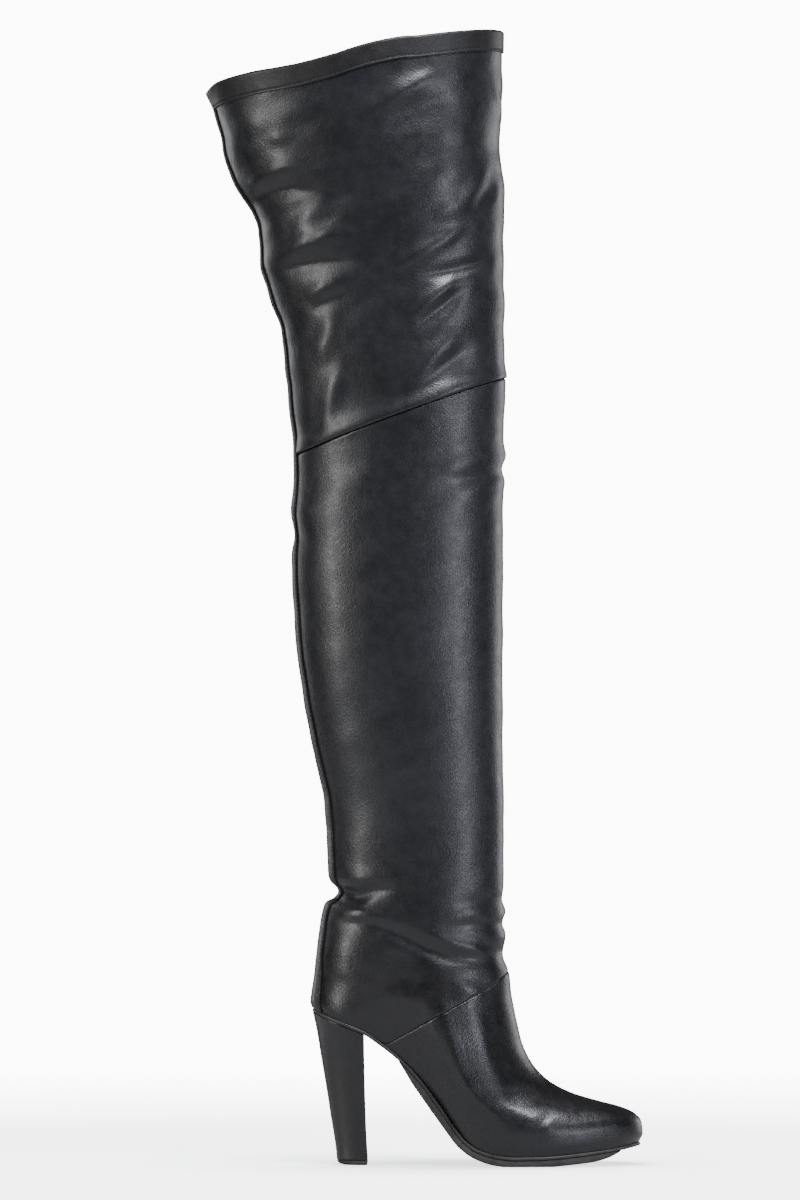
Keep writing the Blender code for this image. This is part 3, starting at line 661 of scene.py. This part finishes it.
def cap_faces(start, around, pointed):
    """Rungs across a ring that starts at a middle point or has two matching sides."""
    first, last = 0, around - 1
    faces = []
    if pointed:
        faces.append((start, start + 1, start + last))
        first = 1
    while last - first > 2:
        faces.append((start + first, start + first + 1, start + last - 1, start + last))
        first += 1
        last -= 1
    if last - first == 2:
        faces.append((start + first, start + first + 1, start + last))
    return faces


def tube(name, rings, material, node):
    """A closed wall from rings that go up its outside and down its inside."""
    faces = ring_faces(len(rings), len(rings[0]), True)
    body_from(name, np.concatenate(rings), faces, material, node)


def stack(name, rings, material, pointed, node):
    """A solid through rings of as many points, closed at both ends."""
    rows, around = len(rings), len(rings[0])
    faces = ring_faces(rows, around, False)
    faces += cap_faces(0, around, pointed) + cap_faces((rows - 1) * around, around, pointed)
    body_from(name, np.concatenate(rings), faces, material, node)


def fit_seam():
    """The vamp seam as angles and levels, closely spaced, from where it meets the sole to the front."""
    xs, zs = column(VAMP_SEAM, 0), column(VAMP_SEAM, 1)
    x = np.linspace(xs[-1], xs[0], 240)
    spots = np.array([locate(px * MM, np.interp(px, xs[::-1], zs[::-1]) * MM, -1) for px in x])
    order = np.argsort(-spots[:, 0])
    turns, levels = -spots[order, 0], spots[order, 1]
    dense = np.linspace(turns[0], math.pi, 400)
    seam = np.interp(dense, turns, levels)
    padded = np.concatenate((2 * seam[0] - seam[12:0:-1], seam, seam[-2:-14:-1]))
    seam = np.convolve(padded, np.hanning(25) / np.hanning(25).sum(), "valid")
    return dense, np.maximum(seam - seam[0], 0)


SEAM_TURNS, SEAM_LEVELS = fit_seam()
SEAM_TIP = SEAM_TURNS[0]


def seam_level(angle):
    """Level of the vamp seam round the foot, 0 behind its tip."""
    return np.interp(np.abs(angle), SEAM_TURNS, SEAM_LEVELS, left=0.0)


def new_material(name):
    """A material with its tree, its main shader and the object's own coordinates in metres."""
    material = bpy.data.materials.new(name)
    material.use_nodes = True
    tree = material.node_tree
    shader = tree.nodes["Principled BSDF"]
    place = tree.nodes.new("ShaderNodeTexCoord").outputs["Object"]
    return material, tree, shader, place


def add_node(tree, kind, inputs):
    """A shader node with its inputs set to values or linked to other nodes' outputs."""
    node = tree.nodes.new("ShaderNode" + kind)
    for socket, value in inputs.items():
        if isinstance(value, bpy.types.NodeSocket):
            tree.links.new(value, node.inputs[socket])
        else:
            node.inputs[socket].default_value = value
    return node


def add_noise(tree, place, scale, detail, rough, warp=0.0):
    inputs = {"Vector": place, "Scale": scale, "Detail": detail, "Roughness": rough, "Distortion": warp}
    return add_node(tree, "TexNoise", inputs).outputs["Fac"]


def add_cells(tree, place, scale):
    node = add_node(tree, "TexVoronoi", {"Vector": place, "Scale": scale})
    node.feature = "SMOOTH_F1"
    node.inputs["Smoothness"].default_value = CELL_SMOOTHNESS
    return node.outputs["Distance"]


def add_range(tree, value, low, high, to_low, to_high):
    inputs = {"Value": value, "From Min": low, "From Max": high, "To Min": to_low, "To Max": to_high}
    return add_node(tree, "MapRange", inputs).outputs["Result"]


def add_mix(tree, share, first, second):
    node = tree.nodes.new("ShaderNodeMix")
    node.data_type = "RGBA"
    tree.links.new(share, node.inputs["Factor"])
    for socket, value in (("A", first), ("B", second)):
        target = [plug for plug in node.inputs if plug.name == socket and plug.type == "RGBA"][0]
        if isinstance(value, tuple):
            target.default_value = (*value, 1.0)
        else:
            tree.links.new(value, target)
    return [plug for plug in node.outputs if plug.type == "RGBA"][0]


def add_bump(tree, shader, layers):
    """Bumps one over another: each is a height, a strength and a depth in metres."""
    below = {}
    for height, strength, depth in layers:
        inputs = {"Height": height, "Strength": strength, "Distance": depth}
        below = {"Normal": add_node(tree, "Bump", inputs | below).outputs["Normal"]}
    tree.links.new(below["Normal"], shader.inputs["Normal"])


CELL_SMOOTHNESS = 0.35

# The foot is shinier than the leg, and its colour is darkened there as painted shade: how much less rough,
# its share of the leg's colour under the painted shade, and the heights in metres between which each changes
FOOT_POLISH = 0.045
POLISH_HEIGHTS = (0.09, 0.22)
FOOT_PAINTED_SHADE = 0.45
PAINTED_SHADE_HEIGHTS = (0.10, 0.24)


def leather_material(name, dark, light, roughness, coat, grain):
    """Smooth black leather: fine pores, faint wrinkles, uneven gloss, a thin finish and painted shade that
    darkens it towards the foot.
    """
    material, tree, shader, place = new_material(name)
    height = add_node(tree, "SeparateXYZ", {0: place}).outputs["Z"]
    cloud = add_noise(tree, place, 22.0, 4.0, 0.6)
    leg = add_mix(tree, add_range(tree, cloud, 0.35, 0.68, 0.0, 1.0), dark, light)
    # Painted shade: the colour darkens towards the foot and heel, down to a set share of the leg's colour at
    # the bottom
    painted_shade = add_range(tree, height, *PAINTED_SHADE_HEIGHTS, FOOT_PAINTED_SHADE, 1.0)
    painted_shade_colour = add_node(tree, "VectorMath", {0: leg, 1: add_mix(tree, painted_shade, (0.0, 0.0, 0.0), (1.0, 1.0, 1.0))})
    painted_shade_colour.operation = "MULTIPLY"
    tree.links.new(painted_shade_colour.outputs[0], shader.inputs["Base Color"])
    patches = add_noise(tree, place, 130.0, 5.0, 0.65)
    uneven = add_range(tree, patches, 0.3, 0.7, roughness - 0.07, roughness + 0.08)
    polish = add_range(tree, height, *POLISH_HEIGHTS, -FOOT_POLISH, 0.0)
    total = add_node(tree, "Math", {0: uneven, 1: polish})
    tree.links.new(total.outputs[0], shader.inputs["Roughness"])
    shader.inputs["Specular IOR Level"].default_value = 0.5
    shader.inputs["Coat Weight"].default_value = coat
    shader.inputs["Coat Roughness"].default_value = 0.28
    wrinkles = add_noise(tree, place, 260.0, 5.0, 0.6, 0.8)
    pores = add_cells(tree, place, 900.0)
    fine = add_noise(tree, place, 2100.0, 2.0, 0.5)
    add_bump(tree, shader, ((wrinkles, 0.5, 0.00035), (pores, grain, 0.00022), (fine, 0.35 * grain, 0.00012)))
    return material


def plain_material(name, dark, light, roughness, scale, depth):
    """A matt or worn finish with mottled colour and a bump of one size."""
    material, tree, shader, place = new_material(name)
    cloud = add_noise(tree, place, scale, 6.0, 0.65)
    colour = add_mix(tree, add_range(tree, cloud, 0.32, 0.7, 0.0, 1.0), dark, light)
    tree.links.new(colour, shader.inputs["Base Color"])
    uneven = add_range(tree, cloud, 0.3, 0.7, roughness - 0.1, roughness + 0.1)
    tree.links.new(uneven, shader.inputs["Roughness"])
    rough = add_noise(tree, place, scale * 5.0, 4.0, 0.6)
    add_bump(tree, shader, ((rough, 0.5, depth),))
    return material


# Each leather: dark and light colour, roughness, coat and grain
LEG_LEATHER = leather_material(
    "leg_leather", (0.0080, 0.0081, 0.0100), (0.0140, 0.0142, 0.0178),
    0.39, 0.16, 0.46)
BAND_LEATHER = leather_material(
    "band_leather", (0.0045, 0.0045, 0.0048), (0.0080, 0.0080, 0.0086),
    0.50, 0.10, 0.36)
HEEL_LEATHER = leather_material(
    "heel_leather", (0.0090, 0.0092, 0.0096), (0.0130, 0.0132, 0.0140),
    0.42, 0.24, 0.10)

# Each other finish: dark and light colour, roughness, scale of its mottling and depth of its bump
LINING = plain_material("lining_leather", (0.050, 0.044, 0.038), (0.085, 0.076, 0.066), 0.78, 60.0, 0.0003)
THREAD = plain_material("thread", (0.012, 0.012, 0.013), (0.024, 0.024, 0.026), 0.55, 400.0, 0.0001)
SOLE_EDGE = plain_material("sole_leather", (0.016, 0.015, 0.015), (0.040, 0.037, 0.035), 0.50, 90.0, 0.00025)
TREAD = plain_material("tread_rubber", (0.014, 0.014, 0.014), (0.050, 0.047, 0.044), 0.75, 160.0, 0.0004)


def round_angles(columns):
    return -math.pi + 2 * math.pi * np.arange(columns) / columns


def make_quarter():
    """The leg of the upper, from the sole and the vamp seam up to the knee seam."""
    angles = round_angles(SHEET_COLUMNS)
    bottom = seam_level(angles)
    top = np.full_like(angles, float(KNEE_LEVEL))
    foot = np.linspace(0, FOOT_ROW_SHARE, FOOT_ROWS)[:-1]
    calf = np.linspace(FOOT_ROW_SHARE, 1, CALF_ROWS)
    between = np.concatenate((foot, calf))
    levels, low_gap, high_gap = sheet_levels(angles, bottom, top, between, True, True)
    points, normals, up = leather(angles, levels)
    at_seam = (bottom > 0)[None, :]
    dip = np.where(at_seam, SEAM_DEPTH * roll(low_gap), 0) + roll(high_gap)
    outer = points - normals * dip[..., None]
    outer[-1] -= up[-1] * GAP / 2
    thick = LEATHER - np.minimum(dip, LEATHER * EDGE_SHARE)
    inner = outer - normals * thick[..., None]
    rings = list(outer) + list(inner[::2][::-1])
    tube("leg_panel", rings, LEG_LEATHER, "upper")


def make_vamp():
    """The vamp: the front of the foot, from the sole up to its seam across the instep."""
    half = np.linspace(SEAM_TIP, math.pi, VAMP_COLUMNS)
    turns = np.concatenate((half, 2 * math.pi - half[-2::-1]))
    top = seam_level((turns + math.pi) % (2 * math.pi) - math.pi)
    between = np.linspace(0, 1, VAMP_ROWS)
    levels, _, high_gap = sheet_levels(turns, 0 * turns, top, between, False, True)
    points, normals, up = leather(turns, levels)
    dip = SEAM_DEPTH * roll(high_gap)
    outer = points - normals * dip[..., None]
    outer[-1] -= up[-1] * SEAM_PULL * MM
    thick = LEATHER - np.minimum(dip, LEATHER * EDGE_SHARE)
    inner = outer - normals * thick[..., None]
    rings = [np.concatenate((top_row, under_row[::-1])) for top_row, under_row in zip(outer, inner)]
    stack("vamp", rings, LEG_LEATHER, False, "upper")


def make_thigh():
    """The thigh panel over the knee seam, up into the top band."""
    angles = round_angles(SHEET_COLUMNS)
    bottom = np.full_like(angles, float(KNEE_LEVEL))
    top = np.full_like(angles, float(RIM_LEVEL))
    between = np.linspace(0, 1, THIGH_ROWS)
    levels, low_gap, _ = sheet_levels(angles, bottom, top, between, True, False)
    points, normals, up = leather(angles, levels)
    lap = LAP_HEIGHT * np.exp(-(low_gap / LAP_REACH) ** 2)
    dip = roll(low_gap) - lap
    outer = points - normals * dip[..., None]
    outer[0] += up[0] * GAP / 2
    inner = outer - normals * (LEATHER - np.clip(dip, 0, LEATHER * EDGE_SHARE))[..., None]
    rings = list(outer) + list(inner[::2][::-1])
    tube("thigh_panel", rings, LEG_LEATHER, "thigh_shaft")


def make_lining(name, low, high, rows, node):
    """The lining inside one length of the leg."""
    angles = round_angles(LINING_COLUMNS)
    levels = np.linspace(low, high, rows)[:, None]
    points, normals, _ = leather(angles[None, :], levels)
    outer, inner = (points - normals * (LEATHER + under) for under in LINING_FACES)
    tube(name, list(outer) + list(inner[::-1]), LINING, node)


def make_band():
    """The folded top band with a rounded rim and a stitched lower edge."""
    angles = round_angles(2 * SHEET_COLUMNS)
    thick = GAP + BAND_THICKNESS
    profile = [(0.02, GAP, 0), (0.0, thick - 0.3 * MM, 0), (0.02, thick, 0)]
    profile += [(share, thick - 0.28 * MM * math.exp(-((share - 0.11) / 0.035) ** 2), 0)
                for share in (0.05, 0.08, 0.11, 0.14, 0.17, 0.22, 0.35, 0.5, 0.65, 0.8, 0.92)]
    middle, spread_out = -UPPER_WALL / 2, thick + UPPER_WALL / 2
    for turn in np.linspace(0, math.pi, 9):
        profile.append((1.0, middle + spread_out * math.cos(turn), thick * math.sin(turn)))
    inside = -UPPER_WALL - thick
    profile += [(share, inside, 0) for share in (0.8, 0.5, 0.2, 0.0)]
    profile += [(0.0, -UPPER_WALL - GAP, 0), (1.0, -UPPER_WALL - GAP, 0), (1.0, GAP, 0)]
    rings = []
    for share, aside, above in profile:
        points, out, up = skin_frame(angles, BAND_LEVEL + share)
        wave = 0.12 * MM * ripple(points, 0.008, 5.0)[:, None]
        rings.append(points + out * (aside + wave * (aside > 0)) + up * above)
    tube("top_binding", rings, BAND_LEATHER, "top_band")


def strip_rows():
    """Levels up the back strip, closer where the leather creases."""
    foot = np.linspace(0, 16, 80)[:-1]
    return np.concatenate((foot, np.linspace(16, BAND_LEVEL - 0.03, 190)))


def make_strip():
    """The stitched strip down the back, following the creases under it."""
    levels = strip_rows()
    near, far = strip_angles(levels, -1), strip_angles(levels, 1)
    across = np.array([-1, -0.985, -0.95, -0.9, -0.8, -0.6, -0.35, 0, 0.35, 0.6, 0.8, 0.9, 0.95, 0.985, 1])
    turns = np.where(across[None, :] < 0, across[None, :] * near[:, None], across[None, :] * far[:, None])
    points, normals, _ = leather(turns, levels[:, None])
    width = table_at(STRIP_TAPER, 1, levels) * STRIP_WIDTH / 2
    from_edge = (1 - np.abs(across))[None, :] * width[:, None]
    crown = np.sqrt(1 - (1 - np.clip(from_edge / (0.7 * MM), 0, 1)) ** 2)
    groove = 0.3 * MM * np.exp(-((from_edge - 1.6 * MM) / (0.5 * MM)) ** 2)
    high = GAP + 0.15 * MM + (STRIP_THICKNESS - 0.15 * MM) * crown - groove
    outer = points + normals * high[..., None]
    inner = points + normals * 0.1 * MM
    rings = [np.concatenate((top_row, under_row[::-1])) for top_row, under_row in zip(outer, inner)]
    stack("back_stay", rings, BAND_LEATHER, False, "back_strip")


def stitch_points(centre, along, out):
    """Corners of one stitch: a short low capsule laid along a line."""
    side = np.cross(along, out)
    points = []
    for place, size in ((-0.5, 0.35), (-0.25, 1.0), (0.25, 1.0), (0.5, 0.35)):
        for turn in np.arange(6) * math.pi / 3:
            sideways = side * math.cos(turn) * STITCH_WIDTH / 2 * size
            upwards = out * math.sin(turn) * STITCH_RISE * size
            points.append(centre + along * place * STITCH_LENGTH + sideways + upwards)
    return points


def make_stitches(name, lines):
    """Stitches along lines of points with their outward normals, as one mesh."""
    points, faces = [], []
    for places, outs in lines:
        run = np.concatenate(([0], np.cumsum(np.linalg.norm(np.diff(places, axis=0), axis=1))))
        for at in np.arange(STITCH_PITCH, run[-1] - STITCH_PITCH / 2, STITCH_PITCH):
            spot = np.array([np.interp(at, run, places[:, axis]) for axis in range(3)])
            ahead = np.array([np.interp(at + 0.5 * MM, run, places[:, axis]) for axis in range(3)])
            out = unit(np.array([np.interp(at, run, outs[:, axis]) for axis in range(3)]))
            start = len(points)
            points += stitch_points(spot, unit(ahead - spot), out)
            faces += [tuple(start + corner for corner in face) for face in ring_faces(4, 6, False)]
            faces += [tuple(first + corner for corner in range(6)) for first in (start, start + 18)]
    body_from(name, points, faces, THREAD, sharp=STITCH_SHARP)


def make_seam_stitches():
    """Stitch rows on both edges of the back strip and round the band."""
    levels = strip_rows()[4:-3]
    lines = []
    width = table_at(STRIP_TAPER, 1, levels) * STRIP_WIDTH / 2
    inset = 1 - STITCH_INSET / width
    for sign in (-1, 1):
        points, normals, _ = leather(sign * strip_angles(levels, sign) * inset, levels)
        lines.append((points + normals * (GAP + STRIP_THICKNESS - STRIP_SINK), normals))
    make_stitches("stay_stitches", lines)
    angles = np.linspace(-math.pi, math.pi, 500)
    points, normals, _ = skin_frame(angles, BAND_LEVEL + STITCH_SHARE)
    make_stitches("band_stitches", [(points + normals * (GAP + BAND_THICKNESS - BAND_SINK), normals)])


def sole_point(share, y, depth):
    """A point under the upper's lower edge, measured square to the sole's profile."""
    small = 0.01
    run = 2 * small * FOOT_LENGTH
    rise = sole_height(np.clip(share + small, 0, 1)) - sole_height(np.clip(share - small, 0, 1))
    rise = rise * np.where((share < small) | (share > 1 - small), 2.0, 1.0)
    length = np.sqrt(run * run + rise * rise)
    x = SEAT_X + FOOT_LENGTH * share + depth * rise / length
    z = sole_height(np.clip(share, 0, 1)) - depth * run / length
    return np.stack([x, y, z], -1)


def sole_edge(grow, sign):
    """One side of the upper's lower edge in plan, grown outwards: shares of the length and places."""
    angles = sign * np.linspace(0, math.pi, 400)
    edge = skin(angles, 0.0)[:, :2]
    turn = sign * (skin(angles + 1e-3, 0.0) - skin(angles - 1e-3, 0.0))[:, :2]
    out = unit(np.stack([-sign * turn[:, 1], sign * turn[:, 0]], -1))
    plan = edge + grow * out
    return (plan[:, 0] - SEAT_X) / FOOT_LENGTH, plan[:, 1]


def plate_ring(grow, depth, columns):
    """A ring round the sole at a depth under the upper, from the heel's back round to the toe."""
    spots = (1 - np.cos(np.linspace(0, math.pi, columns))) / 2
    along, places = sole_edge(grow, -1)
    share = along[0] + (along[-1] - along[0]) * spots
    near = np.interp(share, along, places)
    far_along, far_places = sole_edge(grow, 1)
    far = np.interp(share[1:-1], far_along, far_places)
    ring_share = np.concatenate((share, share[-2:0:-1]))
    ring_y = np.concatenate((near, far[::-1]))
    return sole_point(ring_share, ring_y, depth)


def make_outsole():
    """The thin leather sole with its edge rounded over."""
    top, bottom = GAP, GAP + OUTSOLE_THICKNESS
    profile = ((bottom, -0.9), (bottom - 0.12 * MM, -0.45), (bottom - 0.5 * MM, -0.08),
               (bottom - 1.1 * MM, 0.0), (top + 0.6 * MM, -0.04), (top + 0.2 * MM, -0.25), (top, -0.6))
    rings = [plate_ring(OUTSOLE_MARGIN + inset * MM, depth, 181) for depth, inset in profile]
    stack("sole_plate", rings, SOLE_EDGE, True, "outsole")


def make_tread():
    """The worn layer under the forepart, with a ragged edge towards the toe."""
    share = np.linspace(HALF_SOLE_START_SHARE, HALF_SOLE_END_SHARE, 150)
    along = (share - share[0]) / (share[-1] - share[0])
    taper = table_at(TREAD_TAPER, 1, along)
    top_depth = 2 * GAP + OUTSOLE_THICKNESS
    rings = []
    for part, inset in ((1.0, 1.1), (0.93, 0.5), (0.7, 0.1), (0.35, 0.0), (0.0, 0.15)):
        sides = []
        for sign in (-1, 1):
            edge_along, edge_places = sole_edge(OUTSOLE_MARGIN, sign)
            y = np.interp(share, edge_along, edge_places) - sign * (HALF_SOLE_INSET + inset * MM)
            row = sole_point(share, y, top_depth + HALF_SOLE_THICKNESS * taper * part)
            wear = ripple(row, 0.0035, 21.0) * 0.35 * MM * part
            row[:, 1] -= sign * np.abs(wear)
            row[:, 2] = np.maximum(row[:, 2], 0.0)
            sides.append(row)
        rings.append(np.concatenate((sides[0], sides[1][::-1])))
    stack("forepart_tread", rings, TREAD, False, "half_sole")


def soften(ring, turns):
    """A closed outline with its corners cut a few times."""
    ring = np.asarray(ring, float)
    for _ in range(turns):
        after = np.roll(ring, -1, axis=0)
        both = np.stack((0.75 * ring + 0.25 * after, 0.25 * ring + 0.75 * after), 1)
        ring = both.reshape(-1, ring.shape[1])
    return ring


def heel_outline(back, breast, half, inset=0.0):
    """Round the heel's back on both sides, then across its hollow breast, corners softened."""
    spots = 1 - np.cos(np.linspace(0, math.pi / 2, 21))
    along, places = sole_edge(0.0, 1)
    halves = np.interp(spots * BREAST_SHARE, along, places)
    halves = halves / halves[-1] * (half - inset)
    x = back + inset + (breast - back - 2 * inset) * spots
    across = np.linspace(-1, 1, 17)[1:-1]
    hollow = BREAST_HOLLOW * (1 - np.abs(across) ** 2.2)
    near = np.stack([x, -halves], -1)
    far = np.stack([x, halves], -1)
    middle = np.stack([breast - inset - hollow, across * halves[-1]], -1)
    return soften(np.concatenate((near, middle, far[:0:-1])), 2)


def make_heel():
    """The leather-covered heel block, turned in a little at its foot."""
    along, places = sole_edge(0.0, 1)
    seat_half = np.interp(BREAST_SHARE, along, places)
    seat_back = SEAT_X + HEEL_INSET
    breast_x = SEAT_X + BREAST_SHARE * FOOT_LENGTH
    depth = 2 * GAP + OUTSOLE_THICKNESS
    base = TIP_THICKNESS + GAP
    rises = np.concatenate(([0, 0.002, 0.006, 0.012], np.linspace(0.02, 0.985, 74), [0.992, 0.997, 1.0]))
    rings = []
    for up in rises:
        shares = [table_at(HEEL_ROWS, number, up) for number in (1, 2, 3)]
        back = -TIP_DEPTH / 2 + (seat_back + TIP_DEPTH / 2) * shares[0]
        breast = TIP_DEPTH / 2 + (breast_x - TIP_DEPTH / 2) * shares[1]
        half = TIP_WIDTH / 2 + (seat_half - HEEL_INSET - TIP_WIDTH / 2) * shares[2]
        edge = min(up, 1 - up) * (SEAT_HEIGHT - base)
        turned = 0.35 * MM * (1 - math.sqrt(1 - (1 - min(edge / (0.8 * MM), 1)) ** 2))
        outline = heel_outline(back, breast, half, turned)
        seat_x = seat_back + (breast_x - seat_back) * (outline[:, 0] - back) / (breast - back)
        top = sole_point((seat_x - SEAT_X) / FOOT_LENGTH, 0 * seat_x, depth)
        x = outline[:, 0] + (top[:, 0] - seat_x) * up
        rings.append(np.stack([x, outline[:, 1], base + (top[:, 2] - base) * up], -1))
    stack("heel_cover", rings, HEEL_LEATHER, False, "heel_block")


def make_tip():
    """The tread piece under the heel, flat on the floor and worn at its back."""
    rings = []
    for up in np.linspace(0, 1, 9):
        back_in, breast_in, side_in = [table_at(TIP_ROWS, n, up) for n in (1, 2, 3)]
        back = -TIP_DEPTH / 2 + TIP_DEPTH * back_in
        breast = TIP_DEPTH / 2 - TIP_DEPTH * breast_in
        outline = heel_outline(back, breast, TIP_WIDTH / 2 * (1 - side_in))
        rings.append(np.column_stack((outline, np.full(len(outline), TIP_THICKNESS * up))))
    stack("heel_toplift", rings, TREAD, False, "heel_tip")


def make_floor():
    """A pale floor that fades out behind, so that no edge of it shows."""
    mesh = bpy.data.meshes.new("floor")
    mesh.from_pydata([(-6, -6, 0), (6, -6, 0), (6, 6, 0), (-6, 6, 0)], [], [(0, 1, 2, 3)])
    floor = bpy.data.objects.new("floor", mesh)
    bpy.context.scene.collection.objects.link(floor)
    material, tree, shader, place = new_material("floor_paint")
    shader.inputs["Base Color"].default_value = FLOOR_COLOUR
    shader.inputs["Roughness"].default_value = 0.85
    # Painted contact shadow: the floor's glow for the camera is dimmed where ambient occlusion finds the boot
    # close by
    openness = add_node(tree, "AmbientOcclusion", {"Distance": SHADOW_REACH}).outputs["AO"]
    strength = add_range(tree, openness, SHADOW_FROM, 1.0, SHADOW_SHARE * FLOOR_GLOW, FLOOR_GLOW)
    glow = add_node(tree, "Emission", {"Color": GLOW_COLOUR, "Strength": strength})
    both = add_node(tree, "AddShader", {0: shader.outputs[0], 1: glow.outputs[0]})
    by_camera = add_node(tree, "LightPath", {}).outputs["Is Camera Ray"]
    seen = add_node(tree, "MixShader", {0: by_camera, 1: shader.outputs[0], 2: both.outputs[0]})
    away = add_node(tree, "VectorMath", {0: place})
    away.operation = "LENGTH"
    faded = add_range(tree, away.outputs["Value"], *FLOOR_FADE, 0.0, 1.0)
    clear = add_node(tree, "BsdfTransparent", {})
    blend = add_node(tree, "MixShader", {0: faded, 1: seen.outputs[0], 2: clear.outputs[0]})
    tree.links.new(blend.outputs[0], tree.nodes["Material Output"].inputs["Surface"])
    mesh.materials.append(material)


def make_world():
    """White paper all round for the camera, and dimmer studio light on the leather."""
    world = bpy.data.worlds.new("studio")
    bpy.context.scene.world = world
    world.use_nodes = True
    tree = world.node_tree
    shown = tree.nodes["Background"]
    shown.inputs["Color"].default_value = BACKDROP_COLOUR
    shown.inputs["Strength"].default_value = BACKDROP
    room = add_node(tree, "Background", {"Color": ROOM_COLOUR, "Strength": ROOM_LIGHT})
    by_camera = add_node(tree, "LightPath", {}).outputs["Is Camera Ray"]
    pick = add_node(tree, "MixShader", {0: by_camera, 1: room.outputs[0], 2: shown.outputs[0]})
    tree.links.new(pick.outputs[0], tree.nodes["World Output"].inputs["Surface"])


def aim(thing, target):
    """Turns a lamp or a camera towards a point."""
    x, y, z = np.array(target) - np.array(thing.location)
    thing.rotation_euler = (math.pi / 2 + math.atan2(z, math.hypot(x, y)), 0, math.atan2(-x, y))


def make_lights():
    """Tall soft boxes at both sides, smaller ones behind them and one overhead."""
    for name, place, target, size, power, colour in LIGHTS:
        data = bpy.data.lights.new(name, "AREA")
        data.shape = "RECTANGLE"
        data.size, data.size_y = size
        data.energy = power
        data.color = colour
        lamp = bpy.data.objects.new(name, data)
        lamp.location = place
        lamp.visible_camera = False
        aim(lamp, target)
        bpy.context.scene.collection.objects.link(lamp)


def make_camera():
    """A far camera level with the middle of the photo, square to the boot's outer side."""
    data = bpy.data.cameras.new("camera")
    data.sensor_width = SENSOR
    data.lens = SENSOR * CAMERA_AWAY / FRAME_HEIGHT
    camera = bpy.data.objects.new("camera", data)
    camera.location = (FRAME_MIDDLE[0], -CAMERA_AWAY, FRAME_MIDDLE[1])
    aim(camera, (FRAME_MIDDLE[0], 0.0, FRAME_MIDDLE[1]))
    bpy.context.scene.collection.objects.link(camera)
    bpy.context.scene.camera = camera


# Camera: the frame's middle and height in metres at the boot, its distance, and its sensor
FRAME_MIDDLE = (0.0311, 0.3697)
FRAME_HEIGHT = 0.786
CAMERA_AWAY = 7.0
SENSOR = 36.0

# Paper and floor: strengths and colours, how far the floor's glow is shaded near the boot and by how
# much, and the distances in metres between which the floor fades out
BACKDROP = 11.5
ROOM_LIGHT = 0.06
FLOOR_GLOW = 4.5
SHADOW_REACH = 0.16
SHADOW_SHARE = 0.42
SHADOW_FROM = 0.6
FLOOR_FADE = (0.50, 1.45)
BACKDROP_COLOUR = (1.0, 1.0, 0.99, 1.0)
ROOM_COLOUR = (0.95, 0.97, 1.0, 1.0)
FLOOR_COLOUR = (0.52, 0.525, 0.525, 1.0)
GLOW_COLOUR = (0.975, 1.0, 1.0, 1.0)

# Lamps: name, place, where it points, width and height, watts, colour
LIGHTS = (
    ("left_box", (-1.85, -1.25, 0.90), (0.0, 0.0, 0.38), (0.30, 1.78), 32.0, (1.0, 1.0, 0.97)),
    ("right_box", (1.70, -1.50, 0.38), (0.03, 0.0, 0.38), (0.50, 0.75), 14.5, (0.86, 0.87, 1.0)),
    ("front_top_box", (0.72, -1.15, 2.15), (0.12, 0.0, 0.05), (0.7, 0.6), 80.0, (0.93, 0.93, 1.0)),
    ("far_left_box", (-1.7, 1.7, 0.85), (0.0, 0.0, 0.38), (0.9, 1.9), 16.0, (0.97, 0.98, 1.0)),
    ("far_right_box", (1.8, 1.5, 0.50), (0.03, 0.0, 0.38), (1.2, 1.1), 12.0, (0.97, 0.97, 1.0)),
    ("top_box", (0.0, 0.5, 2.6), (0.0, 0.0, 0.0), (1.4, 1.4), 12.0, (1.0, 1.0, 1.0)),
)

make_quarter()
make_vamp()
make_thigh()
make_lining("leg_lining", 0.6, KNEE_LEVEL - 0.02, 130, "upper")
make_lining("thigh_lining", KNEE_LEVEL + 0.02, RIM_LEVEL - 0.02, 90, "thigh_shaft")
make_band()
make_strip()
make_seam_stitches()
make_outsole()
make_tread()
make_heel()
make_tip()
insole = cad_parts["insole"]
insole.data.materials.clear()
insole.data.materials.append(LINING)
make_floor()
make_world()
make_lights()
make_camera()
